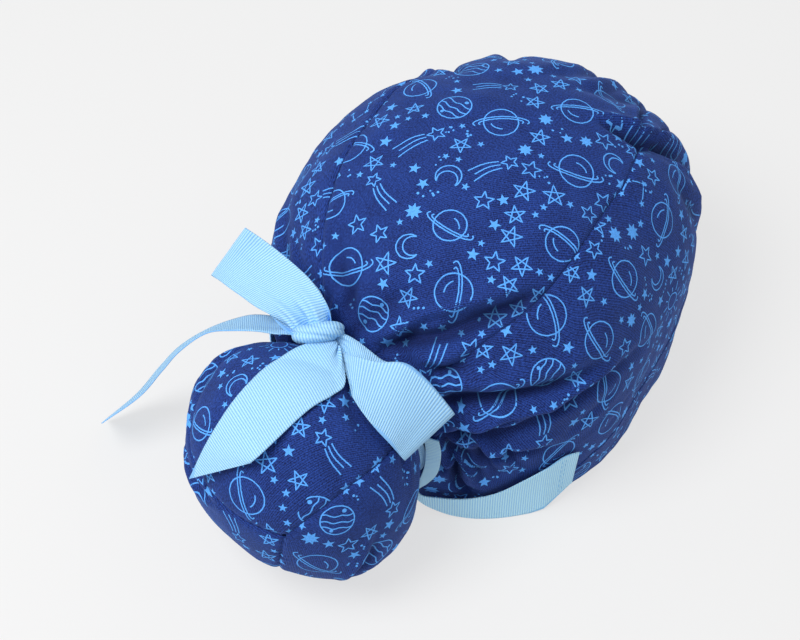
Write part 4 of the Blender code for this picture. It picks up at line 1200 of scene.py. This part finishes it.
def printed(name, points, base, hollow_shade):
    """Printed motifs scattered over a grid of cloth, as one mesh that lies on it."""
    rows, columns = points.shape[:2]
    by_row, by_column = np.gradient(base, axis=0), np.gradient(base, axis=1)
    normal = grid_normals(base)
    lift = grid_normals(points)
    area = np.linalg.norm(np.cross(by_row, by_column), axis=-1).ravel()
    share = area / area.sum()
    middles = np.zeros((0, 3))
    rooms = np.zeros(0)
    corners, faces, hollow_shades = [], [], []
    total = 0
    scale = area.sum() / MOTIF_AREA
    for draw, size, around, tries in MOTIFS:
        picks = rng.choice(len(share), int(tries * scale), p=share)
        for pick in picks:
            i, j = divmod(int(pick), columns)
            spot = base[i, j]
            if (np.linalg.norm(middles - spot, axis=1) < rooms + around + PRINT_GAP).any():
                continue
            middles = np.vstack((middles, spot))
            rooms = np.append(rooms, around)
            lines, shapes = draw(size * rng.uniform(0.88, 1.1))
            turn = rng.uniform(0, 2 * np.pi)
            parts = [stroke(line) for line in lines] + [filled(shape) for shape in shapes]
            for flat, quads in parts:
                pi, pj = lay(flat, i, j, turn, base, by_row, by_column, normal)
                good = (pi > 0.3) & (pi < rows - 1.3) & (pj > 0.3) & (pj < columns - 1.3)
                on = sample(points, pi, pj) + PRINT_LIFT * unit(sample(lift, pi, pj))
                flatness = np.linalg.norm(sample(base, pi, pj) - spot, axis=1)
                good &= flatness < 1.6 * size + 0.006
                keep = [face for face in quads if good[list(face)].all()]
                used = np.unique([k for face in keep for k in face]).astype(int)
                renamed = dict(zip(used.tolist(), range(total, total + len(used))))
                corners.append(on[used])
                # Painted shade of the cloth's hollows, carried onto the print
                hollow_shades.append(sample(hollow_shade[..., None], pi[used], pj[used])[:, 0])
                faces += [tuple(renamed[k] for k in face) for face in keep]
                total += len(used)
    return mesh_object(name, np.vstack(corners), faces, PRINT, hollow_shade=np.concatenate(hollow_shades))


def cloth_grid(edges, columns):
    """Angles and ways along for a fine grid between two seams, with its columns closer near them."""
    share = np.linspace(0, 1, columns + 1)
    share = share - 0.55 * np.sin(2 * np.pi * share) / (2 * np.pi)
    low, high = edges(np.array((0.05,)))
    phi = low + (high - low) * share
    for _ in range(3):
        start = np.interp(wrap(phi), RIM_ANGLES, HEM_TOP)
        low, high = edges(start)
        phi = low + (high - low) * share
    start = start - HEM_TUCK
    crown = start[None] + (NECK_START - start[None]) * np.linspace(0, 1, CROWN_ROWS + 1)[:, None] ** 0.95
    neck = np.linspace(NECK_START, NECK_END, NECK_ROWS + 1)[1:, None] * np.ones(start.shape)
    close = 1 - TIP_RADIUS / POUCH_RADII[0] / (np.pi - POUCH_START) * (1 - NECK_END)
    pouch = np.linspace(NECK_END, close, POUCH_ROWS + 1)[1:, None] * np.ones(start.shape)
    along = np.vstack((crown, neck, pouch))
    low, high = edges(along)
    phi = low + (high - low) * share[None]
    across = base_point(phi + STEP, along) - base_point(phi - STEP, along)
    per_radian = np.linalg.norm(across, axis=-1) / (2 * STEP)
    side = -SEAM_OVERLAP / 2 / np.maximum(per_radian, 0.001)
    return low + side + (high - low - 2 * side) * share[None], along


def cloth_piece(name, points, hollow_shade, faces, uv, wall, material, slot):
    """Cloth on a grid of points, standing for the solid of its name."""
    thing = mesh_object("cloth_" + name, points, faces, material, np.stack(uv, axis=-1), hollow_shade=hollow_shade)
    thicken(thing, wall, -1.0)
    place(thing, name, slot)


for name, edges, columns in (
    ("centre_panel", middle_edges, 120),
    ("side_panel_right", right_edges, 142),
    ("side_panel_left", left_edges, 118),
):
    phi, along = cloth_grid(edges, columns)
    points, hollow_shade = cloth_surface(phi, along)
    base = cloth_point(phi, along, folds=False)
    u = centred(arc(points, 1))
    v = arc(points, 0)[:, points.shape[1] // 2, None] * np.ones(u.shape)
    faces = grid_faces(*points.shape[:2], flip=True)
    cloth_piece(name, points, hollow_shade, faces, (u, v), CLOTH_WALL, NAVY, "outer_cloth")
    place(printed("print_" + name, points, base, hollow_shade), None, "outer_cloth")

# Hem band, with its lower edge rolled and its upper edge flat on the panels
angles = np.radians(np.linspace(-180.0, 180.0, HEM_COLUMNS + 1)[:-1])
share = np.linspace(0, 1, HEM_ROWS)
along = np.interp(wrap(angles), RIM_ANGLES, HEM_TOP) * share[:, None]
phi = np.broadcast_to(angles, along.shape)
band, hollow_shade = cloth_surface(phi, along)
out = grid_normals(joined(band))[:, :-1]
out = out * np.sign((out * (band - CROWN_MIDDLE)).sum(axis=-1, keepdims=True))
roll = HEM_ROLL * (1 - np.clip(share / HEM_ROLL_END, 0, 1) ** 2)
flat = HEM_LIFT * np.clip((share - HEM_FLAT_START) / (1 - HEM_FLAT_START), 0, 1) ** 2
band = band + (HEM_LIFT - (roll + flat))[:, None, None] * out
uv = arc(joined(band), 1)[:, :-1], arc(band, 0)
faces = grid_faces(HEM_ROWS, HEM_COLUMNS, ring=True, flip=True)
cloth_piece("hem_band", band, hollow_shade, faces, uv, HEM_WALL, HEM_NAVY, "hem_cloth")
base = cloth_point(phi, along, folds=False)
place(printed("print_hem_band", joined(band), joined(base), joined(hollow_shade)), None, "hem_cloth")


def ribbon_object(name, points, ring=False, cut=1.0, material=SKY):
    """Ribbon on a grid, rows along it and columns across; past the cut share its ribs stay parallel."""
    walked = arc(points, 0)
    start = int(cut * (len(points) - 1))
    u = centred(arc(points, 1))
    v = walked[:, points.shape[1] // 2, None] * np.ones(u.shape)
    v[start:] = v[start] + walked[start:] - walked[start]
    rows, columns = points.shape[:2]
    faces = grid_faces(rows, columns)
    if ring:
        last = (rows - 1) * columns
        faces += [(last + j, last + j + 1, j + 1, j) for j in range(columns - 1)]
    thing = mesh_object("ribbon_" + name, points, faces, material, np.stack((u, v), axis=-1))
    thicken(thing, RIBBON_WALL, 0.0)
    place(thing, name, "ribbon")


def bow_strip(tables, count, columns, pleats, depth, reach):
    """Ribbon between two edges, pleated where the knot draws it in: at both ends if reach < 0."""
    rows = np.array(tables, float) / 1000
    rows = np.hstack(((rows[:, :3] + rows[:, 3:]) / 2, (rows[:, :3] - rows[:, 3:]) / 2))
    rows = resample(rows, count)
    share = np.linspace(-1, 1, columns)[None, :, None]
    points = KNOT_MIDDLE + rows[:, None, :3] + share * rows[:, None, 3:]
    face = unit(np.cross(np.gradient(rows[:, :3], axis=0), rows[:, 3:]))[:, None, :]
    narrow = 1 - 2 * np.linalg.norm(rows[:, 3:], axis=1) / (0.98 * RIBBON_WIDTH)
    narrow = np.clip(narrow, 0, 1)[:, None, None]
    walked = walk(rows[:, :3])[:, None, None]
    from_knot = np.minimum(walked, walked[-1] - walked) if reach < 0 else walked
    fade = np.exp(-((from_knot / abs(reach)) ** 2))
    turn = np.pi * pleats * share
    wave = np.cos(turn + 0.6) + 0.5 * np.cos(1.9 * turn + 1.1 + 60 * walked)
    wave = wave + 0.3 * np.cos(3.1 * turn - 40 * walked)
    return keep_off(points + depth * narrow * (0.25 + fade) * wave * face, BOW_LIFT)


def keep_off(points, lift):
    """Moves ribbon points out of the crown, the pouch and the ribbon round the neck."""
    bodies = ((CROWN_MIDDLE, crown_reach), (POUCH_MIDDLE, pouch_reach), (RING_MIDDLE, wrap_reach))
    for middle, reach in bodies:
        arm = points - middle
        length = np.linalg.norm(arm, axis=-1)
        way = unit(arm)
        least = reach(way) + lift
        points = np.where((length < least)[..., None], middle + least[..., None] * way, points)
    return points


def looped(front, lower):
    """Front layer, turn and back layer of a loop as one table."""
    end = (np.array(front[-1]) + np.array(lower[0])) / 2
    run = unit(np.array(front[-1])[:3] - np.array(front[-2])[:3])
    end = end + np.tile(run, 2) * LOOP_TURN_MM
    return np.vstack((np.array(front, float), end[None], np.array(lower, float)))


# Back layer of the left loop, under its front layer, and the left end from the knot on
left_back = np.array(BOW_LEFT, float)[::-1].copy()
under = np.interp(np.arange(len(left_back)), (0, 3, 6, 8), (3.0, 7.0, 6.0, 3.0))[:, None]
left_back -= under * np.tile(unit(np.array((0.32, -0.56, 0.77))), 2)
left_back[-3:] += np.array((-1.5, -1.5, 0.5) * 2)
left_tail = np.vstack((np.array(LEFT_TAIL[0]) * (0.3, 0.3, 0.3, 1, 1, 1), np.array(LEFT_TAIL)))
left_tail = left_tail * RIBBON_WIDTH * 1000
left_tail = np.hstack((left_tail[:, :3] + left_tail[:, 3:], left_tail[:, :3] - left_tail[:, 3:]))

# Bow: piece, edges, rows, columns, pleats, their depth and reach, share at which the ribs go parallel
for name, tables, rows, columns, pleats, depth, reach, cut in (
    ("loop_left", looped(BOW_LEFT, left_back), 300, 33, 2.1, 0.0056, -0.032, 1.0),
    ("loop_right", looped(BOW_RIGHT, BOW_RIGHT_BACK), 300, 33, 1.3, 0.0010, -0.018, 1.0),
    ("tail_front", BOW_FRONT, 200, 33, 1.5, 0.0012, 0.016, 0.72),
    ("tail_left", left_tail, 220, 21, 1.5, 0.0012, 0.030, 1.0),
):
    ribbon_object(name, bow_strip(tables, rows, columns, pleats, depth, reach), cut=cut)

# Ribbon round the neck, bunched lengthwise
angles = np.radians(np.linspace(0.0, 360.0, WRAP_ROWS + 1)[:-1])
edges = [cloth_point(angles, along, WRAP_CLEARANCE, folds=False) for along in groove_edges(angles)]
share = np.linspace(0, 1, WRAP_COLUMNS)[:, None, None]
points = edges[0] + (edges[1] - edges[0]) * share
bunch = 0.0010 * np.abs(np.sin(share * 9.0)) + 0.0004 * np.sin(share * 23 + 1)
points = points + bunch * unit(points - RING_MIDDLE)
ribbon_object("neck_wrap", points.transpose(1, 0, 2), ring=True)

# Knot: a band of ribbon drawn tight over the middle, with two creases
polar = np.linspace(-np.pi / 2, np.pi / 2, KNOT_ROWS + 2)[1:-1, None]
angles = np.linspace(0, 2 * np.pi, KNOT_COLUMNS + 1)[:-1]
out = np.cos(polar)
local = (np.sin(polar) * np.ones(KNOT_COLUMNS), out * np.cos(angles), out * np.sin(angles))
way = unit(np.stack(local, axis=-1) @ KNOT_AXES)
points = knot_reach(way)[..., None] * way
run, side, front = (points @ axis for axis in KNOT_AXES)
side = KNOT_SHARES[1] * side + KNOT_BEND * np.sin(run / KNOT_WIDTH * 2.0)
front = KNOT_SHARES[2] * front - KNOT_BOW * run**2
points = KNOT_MIDDLE + np.stack((KNOT_SHARES[0] * run, side, front), axis=-1) @ KNOT_AXES + KNOT_MOVE
crease = np.exp(-(((side + 0.0014 + 0.10 * run) / 0.0009) ** 2))
crease = crease + 0.5 * np.exp(-(((side - 0.0034 + 0.16 * run) / 0.0007) ** 2))
points = points - KNOT_CREASE * crease[..., None] * way
uv = np.stack((np.clip(side, -0.015, 0.015), run + 0.35 * side), axis=-1).reshape(-1, 2)
uv = np.vstack((uv, ((0.0, -KNOT_WIDTH), (0.0, KNOT_WIDTH))))
ends = np.array((points[0].mean(axis=0), points[-1].mean(axis=0)))
faces = grid_faces(KNOT_ROWS, KNOT_COLUMNS, ring=True)
count = KNOT_ROWS * KNOT_COLUMNS
last = count - KNOT_COLUMNS
following = (np.arange(KNOT_COLUMNS) + 1) % KNOT_COLUMNS
faces += [(count, int(k), j) for j, k in enumerate(following)]
faces += [(count + 1, last + j, last + int(k)) for j, k in enumerate(following)]
knot = mesh_object("ribbon_knot", np.vstack((points.reshape(-1, 3), ends)), faces, SKY, uv)
place(knot, "knot", "ribbon")

# Ties at the nape: the lower edge stands off the cap, and two rows of stitches hold the end
for side, name in ((1, "nape_tie_right"), (-1, "nape_tie_left")):
    points = tie_points(side, TIE_ROWS, TIE_COLUMNS)
    compass = np.degrees(np.arctan2(points[..., 1], side * points[..., 0]))
    spread = np.interp(compass, (-78, -70, -48, -43, -40), (0.0, 0.0015, 0.0040, 0.0015, 0.0))
    lower = np.linspace(1, 0, TIE_COLUMNS)[None, :] ** 2 * (points[..., 2] < HEM_HEIGHT)
    away = unit(points * (1.0, 1.0, 0.0))
    points = points + (spread * lower)[..., None] * away
    points[..., 2] -= TIE_DROP * lower * np.clip(spread / TIE_SPREAD, 0, 1)
    points[..., 2] = np.maximum(points[..., 2], LEAST_HEIGHT)
    # The ties take the brighter copy of the ribbon colour, which is painted light
    ribbon_object(name, points, material=PAINTED_LIGHT_SKY)
    corners, faces = [], []
    middle = TIE_COLUMNS // 2
    for row in STITCH_ROWS:
        near = points[row - 1 : row + 2, 2:-1]
        step = np.linspace(0, near.shape[1] - 1, STITCH_MARKS)
        for a, b in zip(step[:-1:2], step[1::2]):
            ends = [sample(near, np.array(1.0), np.array(k)) for k in (a, b)]
            way = unit(ends[1] - ends[0])
            out = unit(np.cross(points[row + 1, middle] - points[row - 1, middle], way)) * side
            out = out * np.sign((out * away[row, middle]).sum())
            wide = np.cross(way, out) * STITCH_WIDTH / 2
            start = len(corners)
            for end in ends:
                low = end + out * STITCH_LIFT
                corners += [low - wide, end + out * STITCH_TOP, low + wide]
            faces += [(k, k + 1, k + 4, k + 3) for k in (start, start + 1)]
    stitches = mesh_object("stitches_" + name, np.array(corners), faces, THREAD, smooth=False)
    place(stitches, None, "ribbon")

# Sheets: piece, how it is held, nodes that it rests on; only each piece's flat width and length are looked
# up here
for name, held, rests_on in (
    ("cloth_centre_panel", "gathered", ["hem_band"]),
    ("cloth_side_panel_right", "gathered", ["hem_band"]),
    ("cloth_side_panel_left", "gathered", ["hem_band"]),
    ("cloth_hem_band", "gathered", []),
    ("ribbon_loop_left", "folded", ["knot"]),
    ("ribbon_loop_right", "folded", ["knot"]),
    ("ribbon_tail_front", "draped", ["knot", "centre_panel"]),
    ("ribbon_tail_left", "hung", ["knot"]),
    ("ribbon_neck_wrap", "gathered", ["centre_panel"]),
    ("ribbon_nape_tie_right", "laid", ["side_panel_right"]),
    ("ribbon_nape_tie_left", "laid", ["side_panel_left"]),
):
    width, length, area = CUTS[name]
    flat = (width, length)

# Floor, light and camera
floor = bpy.data.meshes.new("floor")
floor.from_pydata([(-4, -4, 0), (4, -4, 0), (4, 4, 0), (-4, 4, 0)], [], [(0, 1, 2, 3)])
paper = Nodes("paper")
paper.set(Base_Color=(0.20, 0.20, 0.20, 1.0), Roughness=0.9, Specular_IOR_Level=0.1)
paper.set(Emission_Color=(1.0, 1.0, 1.0, 1.0), Emission_Strength=0.66)
floor.materials.append(paper.material)
floor = bpy.data.objects.new("floor", floor)
bpy.context.scene.collection.objects.link(floor)

world = bpy.data.worlds.new("studio")
bpy.context.scene.world = world
world.use_nodes = True
sky = world.node_tree.nodes["Background"].inputs
sky["Color"].default_value = (1.0, 1.0, 1.0, 1.0)
sky["Strength"].default_value = 0.53

# Lamps: name, place, size in metres, watts; both face the cap
LIT_POINT = Vector((0.0, 0.0, 0.05))
for name, spot, size, watts in (
    ("key", (-0.28, -0.62, 1.18), 0.7, 14.0),
    ("fill", (0.5, 1.0, 1.2), 1.2, 1.8),
):
    light = bpy.data.lights.new(name, "AREA")
    light.shape = "DISK"
    light.size = size
    light.energy = watts
    lamp = bpy.data.objects.new(name, light)
    bpy.context.scene.collection.objects.link(lamp)
    lamp.location = spot
    lamp.rotation_mode = "QUATERNION"
    lamp.rotation_quaternion = (LIT_POINT - Vector(spot)).to_track_quat("-Z", "Y")

# Camera: angles of the photograph, distance and the point that it looks at
AZIMUTH = math.radians(30.0)
ELEVATION = math.radians(50.0)
DISTANCE = 1.0
LOOK_AT = Vector((-0.0216, -0.0642, 0.065)) + Vector(SHIFT)
level = math.cos(ELEVATION)
back = Vector((math.sin(AZIMUTH) * level, -math.cos(AZIMUTH) * level, math.sin(ELEVATION)))
right = Vector((math.cos(AZIMUTH), math.sin(AZIMUTH), 0.0))
lens = bpy.data.cameras.new("camera")
lens.sensor_width = 36.0
lens.lens = 83.33
camera = bpy.data.objects.new("camera", lens)
bpy.context.scene.collection.objects.link(camera)
turn = Matrix((right, back.cross(right), back)).transposed().to_4x4()
turn.translation = LOOK_AT + back * DISTANCE
camera.matrix_world = turn
bpy.context.scene.camera = camera
bpy.context.scene.view_settings.view_transform = "Standard"
